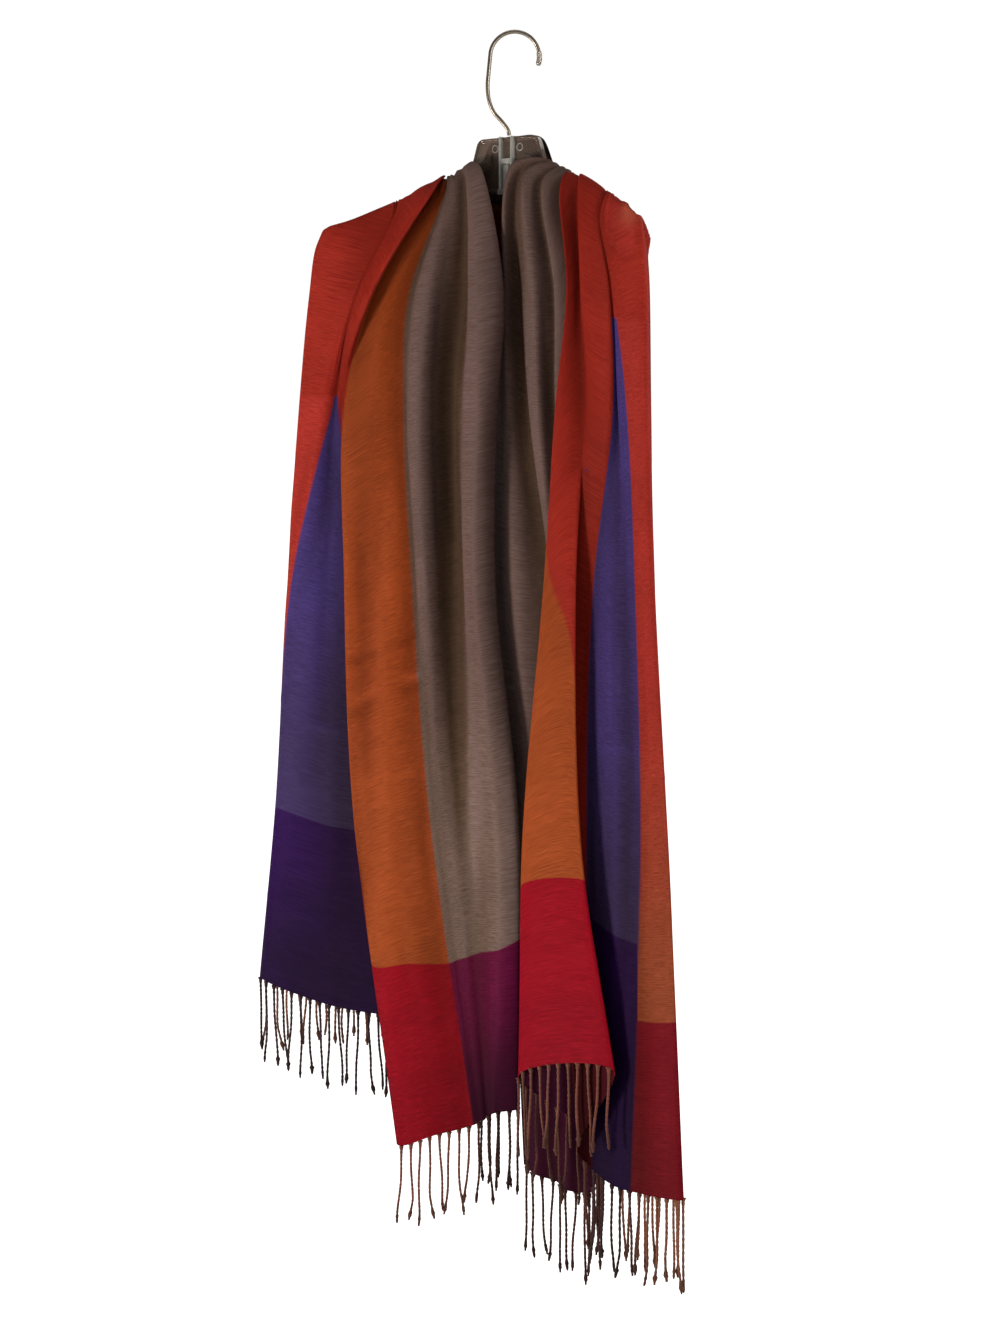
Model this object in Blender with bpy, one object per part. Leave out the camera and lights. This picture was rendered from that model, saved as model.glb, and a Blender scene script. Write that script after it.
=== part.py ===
"""A striped rebozo shawl hung over a clear moulded clothes hanger with a bent wire hook.

The shawl is one long cloth. Its middle crosses behind the hanger from arm to arm, its ends come
forward over the arms and fall in front. Every long fold of it is a row in a table: where that fold
line lies at a few heights, measured from the hanger's own centre. A smooth curve through the rows
gives the cloth's section at each height, and the wall is built on it. Each stretch that shows is
its own solid, 0.3 mm from the next.

Sizes are in millimetres: out along the hanger (right +), fore towards the front, drop below the
top of the standing collar. The frame is +Z up, the front towards -Y, and the origin is the point
under the hook's arch where a rail bears.
"""

import math

import bmesh
import bpy
import numpy as np
from mathutils import Matrix, Vector

MM = 0.001

# Hook: round wire, its arch turned on its swivel against the hanger
WIRE = 4.0
ARCH_RADIUS = 24.5
ARCH_SIDE = 5.5
ARCH_HEIGHT = 78.0
HOOK_TURN = math.radians(38.0)
# The wire below the arch: aside from the stem, above the plate
HOOK_KNEES = ((0, 2.0), (-1, 7), (-7, 15), (-15, 24), (-20, 36), (-21.5, 50), (-20.5, 63))
HOOK_TIP = -26
ARCH_STEP = 14

# Hanger: a plate with two arms that slope down and curve forward
PLATE_DEPTH = 7.0
PLATE_LIP = 7.0
PLATE_TOP_HALF = 37.0
PLATE_LOW_HALF = 47.0
PLATE_WIDEST = 31.0
PLATE_FOOT_HALF = 30.0
PLATE_FOOT = 54.0
PLATE_CORNER = 7.0
PLATE_RIM = 2.6
RIM_BEVEL = 0.5
PLATE_PANEL = 1.4
ARM_START = 20.0
ARM_END = 193.0
ARM_SPAN = 200.0
ARM_FORWARD = 60.0
ARM_TOP_AT_PLATE = 35.0
ARM_SLOPE = 0.45
ARM_WIDE = 9.0
ARM_TALL = 14.0
ARM_STATIONS = 12
ARM_TIP_SLIM = 0.72
SOCKET_HALF = 8.5
SOCKET_TOP = 5.5
SOCKET_FOOT = 63.0
SOCKET_PROUD = 3.0

# Cloth
CLOTH = 1.5
SEAM = 0.3
SEAM_AT_ARM = 1.5
STRAND_PITCH = 12.5
STRAND_WIDE = 2.2
STRAND_LONG = 84.0
STRIP_DEEP = 5.0
HEM_GAP = 1.0
# Rings of a strand: share of its length, and width there
STRAND_RINGS = ((0.55, 0.8), (1.0, 1.1))
ACROSS_STEPS = 3

# Heights at which the fold tables hold; the first lies on the arm and the last at the hem
HEIGHTS = (None, 160.0, 275.0, 450.0, 700.0, None)
# Steps along the cloth between hem, hip, waist, chest, yoke and arm, over the arm, and behind
STEPS_FRONT = (3, 2, 3, 2, 2)
STEPS_OVER = (2, 2)
STEPS_BEHIND = (1, 2, 2)

# One row for each fold line, from the neck edge outwards:
# name, out at the arm and the five heights below it, fore at the same, drop of the hem
LEFT_FALL = (
    ("selvage", (-32, -30, -30, -38, -26, -44), (15, 17, 17, 18, 18, 8), 1000),
    ("inner_fold", (-20, 15, 8, 6, 36, 20), (22, 28, 28, 30, 30, 14), 1000),
    ("long_ridge", (-34, -5, -2, -9, 20, 2), (25, 44, 48, 46, 42, 25), 1006),
    ("deep_valley", (-45, -44, -58, -45, -26, -8), (16, 19, 18, 20, 31, 26), 1012),
    ("valley_side", (-53, -63, -74, -65, -45, -11), (20, 27, 26, 28, 35, 28.5), 1016),
    ("narrow_crest", (-61, -74, -83, -76, -60, -15), (19, 39, 43, 42, 38, 30), 1018),
    ("stripe_edge", (-69, -104, -108, -97, -72, -21), (17, 33, 37, 39, 41, 33), 1022),
    ("panel_middle", (-79, -126, -146, -137, -119, -62), (20, 42, 47, 50, 51, 47), 1038),
    ("panel_edge", (-92, -144, -182, -176, -164, -104), (22, 45, 47, 56, 58, 60), 1053),
    ("turn", (-76, -134, -187, -142, -120, -68), (31, 57, 45, 43, 41, 38), 942),
    ("side_first", (-120, -152, -192, -166, -152, -110), (35, 58, 46, 34, 33, 34), 926),
    ("pleat", (-123, -155, -196, -206, -214, -206), (33, 54, 47, 42, 44, 50), 922),
    ("side_second", (-126, -158, -201, -243, -272, -297), (36, 58, 56, 56, 54, 58), 908),
    ("side_edge", (-203, -216, -236, -266, -288, -312), (64, 62, 58, 46, 46, 50), 905),
    ("back_turn", (-202, -204, -214, -236, -252, -282), (54, 42, 36, 28, 27, 30), 892),
    ("back_fold", (-200, -182, -180, -186, -192, -208), (44, 28, 20, 15, 15, 20), 880),
    ("outer_edge", (-194, -152, -140, -134, -122, -132), (34, 18, 8, 5, 6, 12), 868),
)
RIGHT_FALL = (
    ("selvage", (17, -6, -14, -16, 0, 18), (17, 6, 3, 2, 0, -4), 1066),
    ("strip_ridge", (23, 8, 12, 22, 40, 38), (22, 18, 18, 18, 14, 5), 1070),
    ("dark_valley", (31, 17, 26, 56, 76, 62), (15, 7, 7, 5, 4, -1), 1074),
    ("long_ridge", (42, 60, 64, 78, 92, 82), (25, 39, 37, 28, 20, 9), 1076),
    ("groove", (55, 75, 77, 91, 103, 99), (18, 26, 25, 21, 15, 5), 1076),
    ("narrow_ridge", (64, 88, 87, 101, 113, 116), (26, 39, 36, 30, 23, 14), 1070),
    ("hidden_turn", (86, 116, 118, 118, 120, 136), (20, 30, 31, 32, 31, 26), 1010),
    ("front_edge", (86, 112, 103, 89, 64, 57), (31, 55, 60, 60, 60, 58), 948),
    ("panel_edge", (102, 120, 127, 127, 138, 178), (25, 45, 47, 59, 63, 62), 917),
    ("turn", (108, 126, 134, 110, 106, 128), (30, 50, 50, 52, 54, 53), 1012),
    ("side_first", (137, 161, 163, 134, 127, 136), (41, 57, 53, 45, 43, 41), 1030),
    ("pleat", (140, 164, 169, 161, 161, 158), (41, 55, 47, 50, 46, 43), 1040),
    ("side_second", (143, 167, 174, 188, 200, 191), (42, 57, 56, 55, 51, 50), 1040),
    ("side_edge", (203, 206, 208, 216, 236, 258), (64, 61, 60, 58, 58, 60), 1030),
    ("back_turn", (200, 200, 202, 207, 220, 241), (53, 46, 44, 42, 42, 44), 1032),
    ("back_fold", (197, 188, 184, 180, 182, 197), (44, 29, 23, 20, 21, 24), 1036),
    ("outer_edge", (190, 162, 150, 140, 136, 146), (34, 17, 8, 4, 4, 6), 1040),
)
# The same fold lines over the arm: out at the left and right arm, and just behind either,
# and the cloth's rise above it
OVER_ARM = (
    ("selvage", -52, 50, 50, 2.6),
    ("inner_fold", -50, 53, 53, 4.8),
    ("long_ridge", -56, 57, 57, 2.6),
    ("valley", -61, 62, 62, 5.2),
    ("small_ridge", -66, 67, 67, 2.5),
    ("small_valley", -70, 72, 72, 4.8),
    ("panel_ridge", -74, 88, 77, 4.0),
    ("panel_middle", -82, 80, 83, 4.0),
    ("panel_edge", -91, 95, 90, 4.6),
    ("turn", -76, 100, 98, 8.0),
    ("side_first", -124, 137, 127, 6.4),
    ("pleat", -127, 140, 133, 6.0),
    ("side_second", -130, 143, 139, 6.4),
)
# Folds past the arm's end hang round it: out past the arm's end, fore, drop, and how far in each
# comes as soon as it is behind the arm
ROUND_END = (
    ("side_edge", 3.0, 60, 95, 5.0),
    ("back_turn", 5.5, 54, 104, 9.0),
    ("back_fold", 5.0, 46, 112, 12.0),
    ("outer_edge", 3.0, 39, 118, 14.0),
)
# Swag behind the neck at its middle, from the standing collar to the lower edge: drop, aft
SWAG = (
    ("collar_top", 4, 17),
    ("collar_bulge", 18, 23),
    ("collar_fold", 30, 18),
    ("nape_bulge", 41, 26),
    ("nape_fold", 52, 19),
    ("yoke_bulge", 62, 28),
    ("yoke_fold", 74, 22),
    ("first_swag", 91, 37),
    ("first_hollow", 109, 26),
    ("second_swag", 129, 45),
    ("second_hollow", 149, 30),
    ("third_swag", 169, 51),
    ("third_hollow", 191, 35),
    ("fourth_swag", 215, 55),
    ("fourth_hollow", 239, 39),
    ("fifth_swag", 263, 55),
    ("lower_edge", 285, 47),
)
SWAG_WAYPOINTS = (0.66, 0.34)
SWAG_SAG = 1.8
# How much closer to level the first fold lines run behind the plate
COLLAR_SAG = (4.5, 4.0, 3.2, 2.4)
BEHIND_ARM = 13.0
BELOW_ARM = 13.0
SIDE_GAP = 5.0

# Stretches of each front fall: name, first and last fold line. The front panels keep the rounded
# edge of their fold and end just behind it. The steep hem in the fold carries no fringe.
COLLAR_FOOT = 6
PANEL_LIMIT = 8 + 2 / 3
PANEL_FRINGE = 8
SIDE_FRINGE = 9 + 1 / 3
LEFT_STRETCHES = (
    ("left_neck_fall", 0, 6),
    ("left_front_panel", 6, PANEL_LIMIT),
    ("left_side_fall", PANEL_LIMIT, 13),
    ("left_rear_fall", 13, 16),
)
RIGHT_STRETCHES = (
    ("right_neck_fall", 0, 6),
    ("right_front_panel", 6, PANEL_LIMIT),
    ("right_side_fall", PANEL_LIMIT, 13),
    ("right_rear_fall", 13, 16),
)

# Colour, roughness and metallic value of each finish
FINISHES = {
    "wire": ((0.42, 0.38, 0.33), 0.35, 0.9),
    "clear_plastic": ((0.75, 0.75, 0.73), 0.15, 0.0),
    "taupe": ((0.095, 0.065, 0.045), 0.7, 0.0),
    "orange": ((0.33, 0.10, 0.025), 0.7, 0.0),
    "red": ((0.31, 0.03, 0.02), 0.7, 0.0),
    "blue": ((0.05, 0.03, 0.12), 0.7, 0.0),
    "fringe": ((0.10, 0.04, 0.03), 0.8, 0.0),
}
STRETCH_FINISH = {"neck": "taupe", "front": "orange", "side": "blue", "rear": "red"}

DATUM = PLATE_LIP - (ARCH_HEIGHT + ARCH_RADIUS - WIRE / 2)
CENTRE = Vector(
    (
        -ARCH_SIDE * math.cos(HOOK_TURN),
        -ARCH_SIDE * math.sin(HOOK_TURN),
        0.0,
    )
)


def place(out, fore, drop):
    """A point of the shawl or hanger, from the hanger's own measures to metres in the frame."""
    return Vector((CENTRE.x + out, CENTRE.y - fore, DATUM - drop)) * MM


def arm_fore(out):
    return ARM_FORWARD * (out / ARM_SPAN) ** 2


def arm_drop(out):
    return ARM_TOP_AT_PLATE + ARM_SLOPE * (abs(out) - PLATE_LOW_HALF)


def clear_scene():
    for obj in list(bpy.data.objects):
        bpy.data.objects.remove(obj, do_unlink=True)


def finish_material(name):
    found = bpy.data.materials.get(name)
    if found:
        return found
    colour, roughness, metallic = FINISHES[name]
    material = bpy.data.materials.new(name)
    material.use_nodes = True
    shader = material.node_tree.nodes["Principled BSDF"]
    shader.inputs["Base Color"].default_value = (*colour, 1.0)
    shader.inputs["Roughness"].default_value = roughness
    shader.inputs["Metallic"].default_value = metallic
    return material


def add_object(name, bm, finish):
    """Turn a closed bmesh into a named, smooth-shaded object with its finish, its faces outwards."""
    if bm.calc_volume(signed=True) < 0:
        bmesh.ops.reverse_faces(bm, faces=bm.faces)
    mesh = bpy.data.meshes.new(name)
    bm.to_mesh(mesh)
    bm.free()
    mesh.shade_smooth()
    mesh.set_sharp_from_angle(angle=math.radians(45))
    mesh.materials.append(finish_material(finish))
    obj = bpy.data.objects.new(name, mesh)
    bpy.context.scene.collection.objects.link(obj)
    return obj


def smooth_between(points, steps):
    """Points on a centripetal Catmull-Rom curve through points, steps[i] to its i-th stretch."""
    points = [np.asarray(p, float) for p in points]
    ends = [2 * points[0] - points[1]] + points + [2 * points[-1] - points[-2]]
    curve = [points[0]]
    for i, count in enumerate(steps):
        p0, p1, p2, p3 = ends[i : i + 4]
        t1 = max(np.linalg.norm(p1 - p0), 1e-6) ** 0.5
        t2 = t1 + max(np.linalg.norm(p2 - p1), 1e-6) ** 0.5
        t3 = t2 + max(np.linalg.norm(p3 - p2), 1e-6) ** 0.5
        for k in range(1, count + 1):
            t = t1 + (t2 - t1) * k / count
            a1 = p0 + (p1 - p0) * t / t1
            a2 = p1 + (p2 - p1) * (t - t1) / (t2 - t1)
            a3 = p2 + (p3 - p2) * (t - t2) / (t3 - t2)
            b1 = a1 + (a2 - a1) * t / t2
            b2 = a2 + (a3 - a2) * (t - t1) / (t3 - t1)
            curve.append(b1 + (b2 - b1) * (t - t1) / (t2 - t1))
    return curve


def thread_points(row, index, side):
    """One fold line from the hem up its fall, over the arm and behind to the middle of the neck."""
    _, outs, fores, hem = row
    points = []
    for height, out, fore in zip(HEIGHTS[::-1], outs[::-1], fores[::-1]):
        points.append((out, fore, height))
    points[0] = (outs[-1], fores[-1], hem)
    points[-1] = (outs[0], fores[0], arm_drop(outs[0]) + BELOW_ARM)
    if index < len(OVER_ARM):
        _, left, right, behind, rise = OVER_ARM[index]
        out = left if side < 0 else right
        points.append((out, arm_fore(out), arm_drop(out) - rise))
        out = side * behind
        points.append((out, arm_fore(out) - BEHIND_ARM, arm_drop(out) + BELOW_ARM - rise))
    else:
        _, past, fore, drop, turned_in = ROUND_END[index - len(OVER_ARM)]
        out = side * (ARM_END + past)
        points[-1] = (outs[0], fores[0], drop + BELOW_ARM)
        points.append((out, fore, drop))
        out = side * (ARM_END + past - turned_in)
        points.append((out, fore - BEHIND_ARM - SIDE_GAP, drop + BELOW_ARM))
    _, low, aft = SWAG[index]
    sag = COLLAR_SAG[index] if index < len(COLLAR_SAG) else SWAG_SAG
    start = points[-1]
    for way in SWAG_WAYPOINTS:
        points.append(
            (
                start[0] * way,
                start[1] * way**2 - aft * (1 - way**2),
                low + (start[2] - low) * way**sag,
            )
        )
    points.append((0.0, -aft, low))
    return points


def cloth_grid(table, side):
    """Rows of points over one half of the cloth, hem first, and the row where each part ends."""
    steps = STEPS_FRONT + STEPS_OVER + STEPS_BEHIND
    threads = [
        smooth_between(thread_points(row, i, side), steps) for i, row in enumerate(table)
    ]
    across = [ACROSS_STEPS] * (len(table) - 1)
    rows = [smooth_between(knots, across) for knots in zip(*threads)]
    return np.array([[place(*p) for p in row] for row in rows])


def grid_normals(grid):
    along = np.gradient(grid, axis=0)
    across = np.gradient(grid, axis=1)
    normals = np.cross(across, along)
    return normals / np.maximum(np.linalg.norm(normals, axis=2, keepdims=True), 1e-12)


def trimmed(grid, near, far, axis):
    """The grid with one or both of its end rows (axis 0) or columns drawn in by half a seam."""
    gap = SEAM if axis == 1 else SEAM_AT_ARM
    grid = np.moveaxis(grid.copy(), axis, 0)
    for wanted, end, inner in ((near, 0, 1), (far, -1, -2)):
        if wanted:
            step = grid[inner] - grid[end]
            length = np.maximum(np.linalg.norm(step, axis=1, keepdims=True), 1e-9)
            grid[end] += step * np.minimum(gap * 0.5 * MM / length, 0.45)
    return np.moveaxis(grid, 0, axis)


def wall(grid, normals):
    """A closed wall of the cloth's thickness on a grid of points."""
    bm = bmesh.new()
    offset = normals * (CLOTH / 2 * MM)
    faces = []
    for shift in (offset, -offset):
        sheet = [[bm.verts.new(p) for p in row] for row in grid + shift]
        faces.append(sheet)
    front, back = faces
    rows, columns = len(front), len(front[0])
    for r in range(rows - 1):
        for c in range(columns - 1):
            bm.faces.new((front[r][c], front[r][c + 1], front[r + 1][c + 1], front[r + 1][c]))
            bm.faces.new((back[r][c], back[r + 1][c], back[r + 1][c + 1], back[r][c + 1]))
    for r in range(rows - 1):
        bm.faces.new((front[r][0], front[r + 1][0], back[r + 1][0], back[r][0]))
        bm.faces.new((front[r][-1], back[r][-1], back[r + 1][-1], front[r + 1][-1]))
    for c in range(columns - 1):
        bm.faces.new((front[0][c], back[0][c], back[0][c + 1], front[0][c + 1]))
        bm.faces.new((front[-1][c], front[-1][c + 1], back[-1][c + 1], back[-1][c]))
    return bm


def strand_sway(number):
    """How far a strand's end hangs aside and forward, and how long it is, in millimetres."""
    aside = 3.0 * math.sin(2.4 * number) + 1.6 * math.sin(5.1 * number)
    forward = 1.2 * math.sin(3.7 * number + 1.0)
    length = STRAND_LONG + 6.0 * math.sin(1.9 * number + 0.6)
    return aside, forward, length


def fringe(hem_line, normal_line, count, first_number):
    """A narrow strip under a hem with the strands that hang from it, all one body."""
    span = len(hem_line) - 1
    lengths = np.linalg.norm(np.diff(hem_line, axis=0), axis=1)
    run = np.concatenate([[0.0], np.cumsum(lengths)])
    total = run[-1]
    half = STRAND_WIDE / 2 * MM
    inset = SEAM * MM
    cuts = [inset]
    for k in range(count):
        middle = total * (k + 0.5) / count
        cuts += [middle - half, middle + half]
    cuts.append(total - inset)

    def at(distance):
        """Point, normal, level normal and the gap under the hem that its slope asks for."""
        i = min(int(np.searchsorted(run, distance, side="right")) - 1, span - 1)
        f = (distance - run[i]) / max(lengths[i], 1e-9)
        point = hem_line[i] * (1 - f) + hem_line[i + 1] * f
        normal = normal_line[i] * (1 - f) + normal_line[i + 1] * f
        normal = normal / max(np.linalg.norm(normal), 1e-9)
        level = normal * np.array([1.0, 1.0, 0.0])
        level = level / max(np.linalg.norm(level), 1e-9)
        rise = hem_line[i + 1] - hem_line[i]
        slope = abs(rise[2]) / max(np.linalg.norm(rise[:2]), 1e-9)
        return point, normal, level, HEM_GAP * math.hypot(1.0, min(slope, 3.0))

    down = np.array([0.0, 0.0, -MM])
    bm = bmesh.new()
    ring = []
    for distance in cuts:
        point, normal, level, gap = at(distance)
        corners = []
        for low, toward in ((gap, normal), (gap + STRIP_DEEP, level)):
            for face in (0.5, -0.5):
                corners.append(bm.verts.new(point + down * low + toward * face * CLOTH * MM))
        ring.append(corners)
    for k in range(len(cuts) - 1):
        a, b = ring[k], ring[k + 1]
        bm.faces.new((a[0], b[0], b[2], a[2]))
        bm.faces.new((a[1], a[3], b[3], b[1]))
        bm.faces.new((a[0], a[1], b[1], b[0]))
        if k % 2 == 0:
            bm.faces.new((a[2], b[2], b[3], a[3]))
            continue
        number = first_number + k // 2
        aside, forward, length = strand_sway(number)
        point, _, normal, gap = at((cuts[k] + cuts[k + 1]) / 2)
        along = np.array([-normal[1], normal[0], 0.0])
        if np.dot(along, np.array(b[2].co) - np.array(a[2].co)) < 0:
            along = -along
        top = [a[2], b[2], b[3], a[3]]
        for share, width in STRAND_RINGS:
            centre = point + down * (gap + STRIP_DEEP + length * share)
            centre = centre + along * aside * share**1.5 * MM + normal * forward * share * MM
            low_ring = []
            for sa, sn in ((-1, 1), (1, 1), (1, -1), (-1, -1)):
                corner = centre + along * sa * half * width
                low_ring.append(bm.verts.new(corner + normal * sn * CLOTH / 2 * width * MM))
            for q in range(4):
                r = (q + 1) % 4
                bm.faces.new((top[q], top[r], low_ring[r], low_ring[q]))
            top = low_ring
        bm.faces.new(top)
    near, far = ring[0], ring[-1]
    bm.faces.new((near[0], near[2], near[3], near[1]))
    bm.faces.new((far[0], far[1], far[3], far[2]))
    return bm


def build_half(table, stretches, side):
    """One fall with its fringes, its stretch over the arm, and half of the swag behind."""
    name = "left" if side < 0 else "right"
    grid = cloth_grid(table, side)
    normals = grid_normals(grid)
    arm_row = sum(STEPS_FRONT)
    back_row = arm_row + sum(STEPS_OVER)
    strand = 0
    for stretch, first, last in stretches:
        a, b = round(first * ACROSS_STEPS), round(last * ACROSS_STEPS)
        patch = grid[: arm_row + 1, a : b + 1]
        patch = trimmed(patch, first > 0, last < len(table) - 1, 1)
        patch = trimmed(patch, False, True, 0)
        patch_normals = normals[: arm_row + 1, a : b + 1]
        finish = STRETCH_FINISH[stretch.split("_")[1]]
        add_object(stretch, wall(patch, patch_normals), finish)
        fringed_from = SIDE_FRINGE if first == PANEL_LIMIT else first
        fringed_to = PANEL_FRINGE if last == PANEL_LIMIT else last
        span = slice(round(fringed_from * ACROSS_STEPS) - a, round(fringed_to * ACROSS_STEPS) - a + 1)
        hem = patch[0, span]
        length = np.linalg.norm(np.diff(hem, axis=0), axis=1).sum() / MM
        count = max(2, round(length / STRAND_PITCH))
        comb = fringe(hem, patch_normals[0, span], count, strand)
        add_object(stretch + "_fringe", comb, "fringe")
        strand += count
    shoulder = trimmed(grid[arm_row : back_row + 1], True, True, 0)
    add_object(name + "_shoulder", wall(shoulder, normals[arm_row : back_row + 1]), "red")
    return grid[back_row:], normals[back_row:]


def build_swag(left, right):
    """The stretch behind the neck, from arm to arm, parted at the collar's foot."""
    grid = np.concatenate([left[0], right[0][-2::-1]])
    normals = grid_normals(grid)
    for end, half in ((0, left), (-1, right)):
        shared = half[1][0]
        way = np.sign((normals[end] * shared).sum(axis=1, keepdims=True))
        normals[end] = shared * way
    grid = trimmed(grid, True, True, 0)
    foot = COLLAR_FOOT * ACROSS_STEPS
    collar = trimmed(grid[:, : foot + 1], False, True, 1)
    add_object("neck_collar", wall(collar, normals[:, : foot + 1]), "taupe")
    swag = trimmed(grid[:, foot:], True, False, 1)
    add_object("back_swag", wall(swag, normals[:, foot:]), "red")


def sweep(points, radius, sides=10):
    """A round bar along a line of points, closed at both ends."""
    bm = bmesh.new()
    rings = []
    count = len(points)
    for i, point in enumerate(points):
        before = points[max(i - 1, 0)]
        after = points[min(i + 1, count - 1)]
        heading = (after - before).normalized()
        turn = heading.to_track_quat("Z", "Y").to_matrix()
        ring = []
        for k in range(sides):
            angle = 2 * math.pi * k / sides
            spoke = turn @ Vector((math.cos(angle), math.sin(angle), 0.0))
            ring.append(bm.verts.new(point + spoke * radius))
        rings.append(ring)
    for near, far in zip(rings, rings[1:]):
        for k in range(sides):
            nxt = (k + 1) % sides
            bm.faces.new((near[k], near[nxt], far[nxt], far[k]))
    bm.faces.new(rings[0][::-1])
    bm.faces.new(rings[-1])
    return bm


def build_hook():
    """The wire hook: a short stem, a double bend to one side, and the open arch."""
    side = Vector((math.cos(HOOK_TURN), math.sin(HOOK_TURN), 0.0))
    profile = list(HOOK_KNEES)
    for degrees in range(180, HOOK_TIP, -ARCH_STEP):
        angle = math.radians(degrees)
        profile.append(
            (
                ARCH_SIDE + ARCH_RADIUS * math.cos(angle),
                ARCH_HEIGHT + ARCH_RADIUS * math.sin(angle),
            )
        )
    points = []
    for aside, height in profile:
        points.append((CENTRE + side * aside + Vector((0, 0, DATUM - PLATE_LIP + height))) * MM)
    add_object("wire_hook", sweep(points, WIRE / 2 * MM), "wire")


def rounded_outline(corners, radius, segments=4):
    """Corner points of a polygon with its corners rounded."""
    outline = []
    count = len(corners)
    for i, corner in enumerate(corners):
        here = Vector(corner)
        back = (Vector(corners[i - 1]) - here).normalized()
        ahead = (Vector(corners[(i + 1) % count]) - here).normalized()
        start = here + back * radius
        end = here + ahead * radius
        for k in range(segments + 1):
            t = k / segments
            outline.append(start * (1 - t) ** 2 + here * 2 * t * (1 - t) + end * t**2)
    return outline


def plate_mesh():
    """The moulded plate, with a sunk panel on each face inside its rim."""
    corners = (
        (-PLATE_TOP_HALF, 0.0),
        (PLATE_TOP_HALF, 0.0),
        (PLATE_LOW_HALF, -PLATE_WIDEST),
        (PLATE_FOOT_HALF, -PLATE_FOOT),
        (-PLATE_FOOT_HALF, -PLATE_FOOT),
        (-PLATE_LOW_HALF, -PLATE_WIDEST),
    )
    bm = bmesh.new()
    outline = rounded_outline(corners, PLATE_CORNER)
    front = bm.faces.new(
        [bm.verts.new(place(p.x, PLATE_DEPTH / 2, PLATE_LIP - p.y)) for p in outline]
    )
    made = bmesh.ops.extrude_face_region(bm, geom=[front])
    moved = [e for e in made["geom"] if isinstance(e, bmesh.types.BMVert)]
    bmesh.ops.translate(bm, verts=moved, vec=(0.0, PLATE_DEPTH * MM, 0.0))
    bm.faces.ensure_lookup_table()
    bmesh.ops.recalc_face_normals(bm, faces=bm.faces)
    broad = [f for f in bm.faces if abs(f.normal.y) > 0.9]
    for face in broad:
        toward = -1.0 if face.normal.y > 0 else 1.0
        bmesh.ops.inset_region(bm, faces=[face], thickness=PLATE_RIM * MM, depth=0.0)
        bmesh.ops.inset_region(bm, faces=[face], thickness=RIM_BEVEL * MM, depth=0.0)
        bmesh.ops.translate(bm, verts=face.verts, vec=(0.0, toward * PLATE_PANEL * MM, 0.0))
    return bm


def arm_mesh(side):
    """One arm: a bar with a round top that slopes down and curves forward to a round end."""
    bm = bmesh.new()
    rings = []
    profile = []
    for k in range(7):
        angle = math.pi * k / 6
        profile.append((ARM_WIDE / 2 * math.cos(angle), -ARM_WIDE / 2 * (1 - math.sin(angle))))
    for k in range(5):
        angle = math.pi * (k + 0.5) / 5
        low = -(ARM_TALL - ARM_WIDE / 3) - ARM_WIDE / 3 * math.sin(angle)
        profile.append((-ARM_WIDE / 2 * math.cos(angle), low))
    for i in range(ARM_STATIONS + 1):
        share = i / ARM_STATIONS
        out = ARM_START + (ARM_END - ARM_START) * share
        slim = 1.0 if i < ARM_STATIONS else ARM_TIP_SLIM
        ring = []
        for forward, rise in profile:
            height = arm_drop(out) - rise * slim + (1 - slim) * ARM_WIDE / 3
            ring.append(bm.verts.new(place(side * out, arm_fore(out) + forward * slim, height)))
        rings.append(ring)
    for near, far in zip(rings, rings[1:]):
        for k in range(len(profile)):
            nxt = (k + 1) % len(profile)
            bm.faces.new((near[k], near[nxt], far[nxt], far[k]))
    bm.faces.new(rings[0][::-1])
    bm.faces.new(rings[-1])
    return bm


def unite(obj, others):
    """Fuse other objects into one with Boolean unions and drop them."""
    for other in others:
        union = obj.modifiers.new("union", "BOOLEAN")
        union.operation = "UNION"
        union.solver = "EXACT"
        union.object = other
    bpy.context.view_layer.update()
    graph = bpy.context.evaluated_depsgraph_get()
    fused = bpy.data.meshes.new_from_object(obj.evaluated_get(graph))
    obj.modifiers.clear()
    obj.data = fused
    for other in others:
        bpy.data.objects.remove(other, do_unlink=True)


def box_object(name, low, high, finish):
    bm = bmesh.new()
    size = Vector([abs(h - l) for l, h in zip(low, high)])
    middle = Vector([(h + l) / 2 for l, h in zip(low, high)])
    frame = Matrix.Translation(middle) @ Matrix.Diagonal((*size, 1.0))
    bmesh.ops.create_cube(bm, size=1.0, matrix=frame)
    return add_object(name, bm, finish)


def build_hanger():
    """Plate, arms and the square socket that holds the hook, moulded as one."""
    hanger = add_object("clear_hanger", plate_mesh(), "clear_plastic")
    others = [add_object("arm", arm_mesh(side), "clear_plastic") for side in (-1, 1)]
    half_deep = PLATE_DEPTH / 2 + SOCKET_PROUD
    low = place(-SOCKET_HALF, half_deep, SOCKET_FOOT)
    high = place(SOCKET_HALF, -half_deep, SOCKET_TOP)
    others.append(box_object("socket", low, high, "clear_plastic"))
    unite(hanger, others)
    hanger.data.shade_smooth()
    hanger.data.set_sharp_from_angle(angle=math.radians(35))


def main():
    clear_scene()
    build_hook()
    build_hanger()
    left = build_half(LEFT_FALL, LEFT_STRETCHES, -1)
    right = build_half(RIGHT_FALL, RIGHT_STRETCHES, 1)
    build_swag(left, right)


main()
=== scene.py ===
"""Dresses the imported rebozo: a striped shawl hung over a clear moulded hanger with a wire hook.

The cloth is one woven length. Its long folds are rows in tables, the same ones as in the part's
source, with the place of each fold line on the flat cloth added. A smooth surface through them,
with small creases laid on it, becomes thin shells that take the solids' places. The fringe is
twisted yarn, at the pitch and length of the solids' strands. Sizes in the tables are millimetres:
out along the hanger (right +), fore towards the front, drop below the top of the standing collar.
"""

import math

import bmesh
import bpy
import numpy as np
from mathutils import Matrix, Vector


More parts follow.
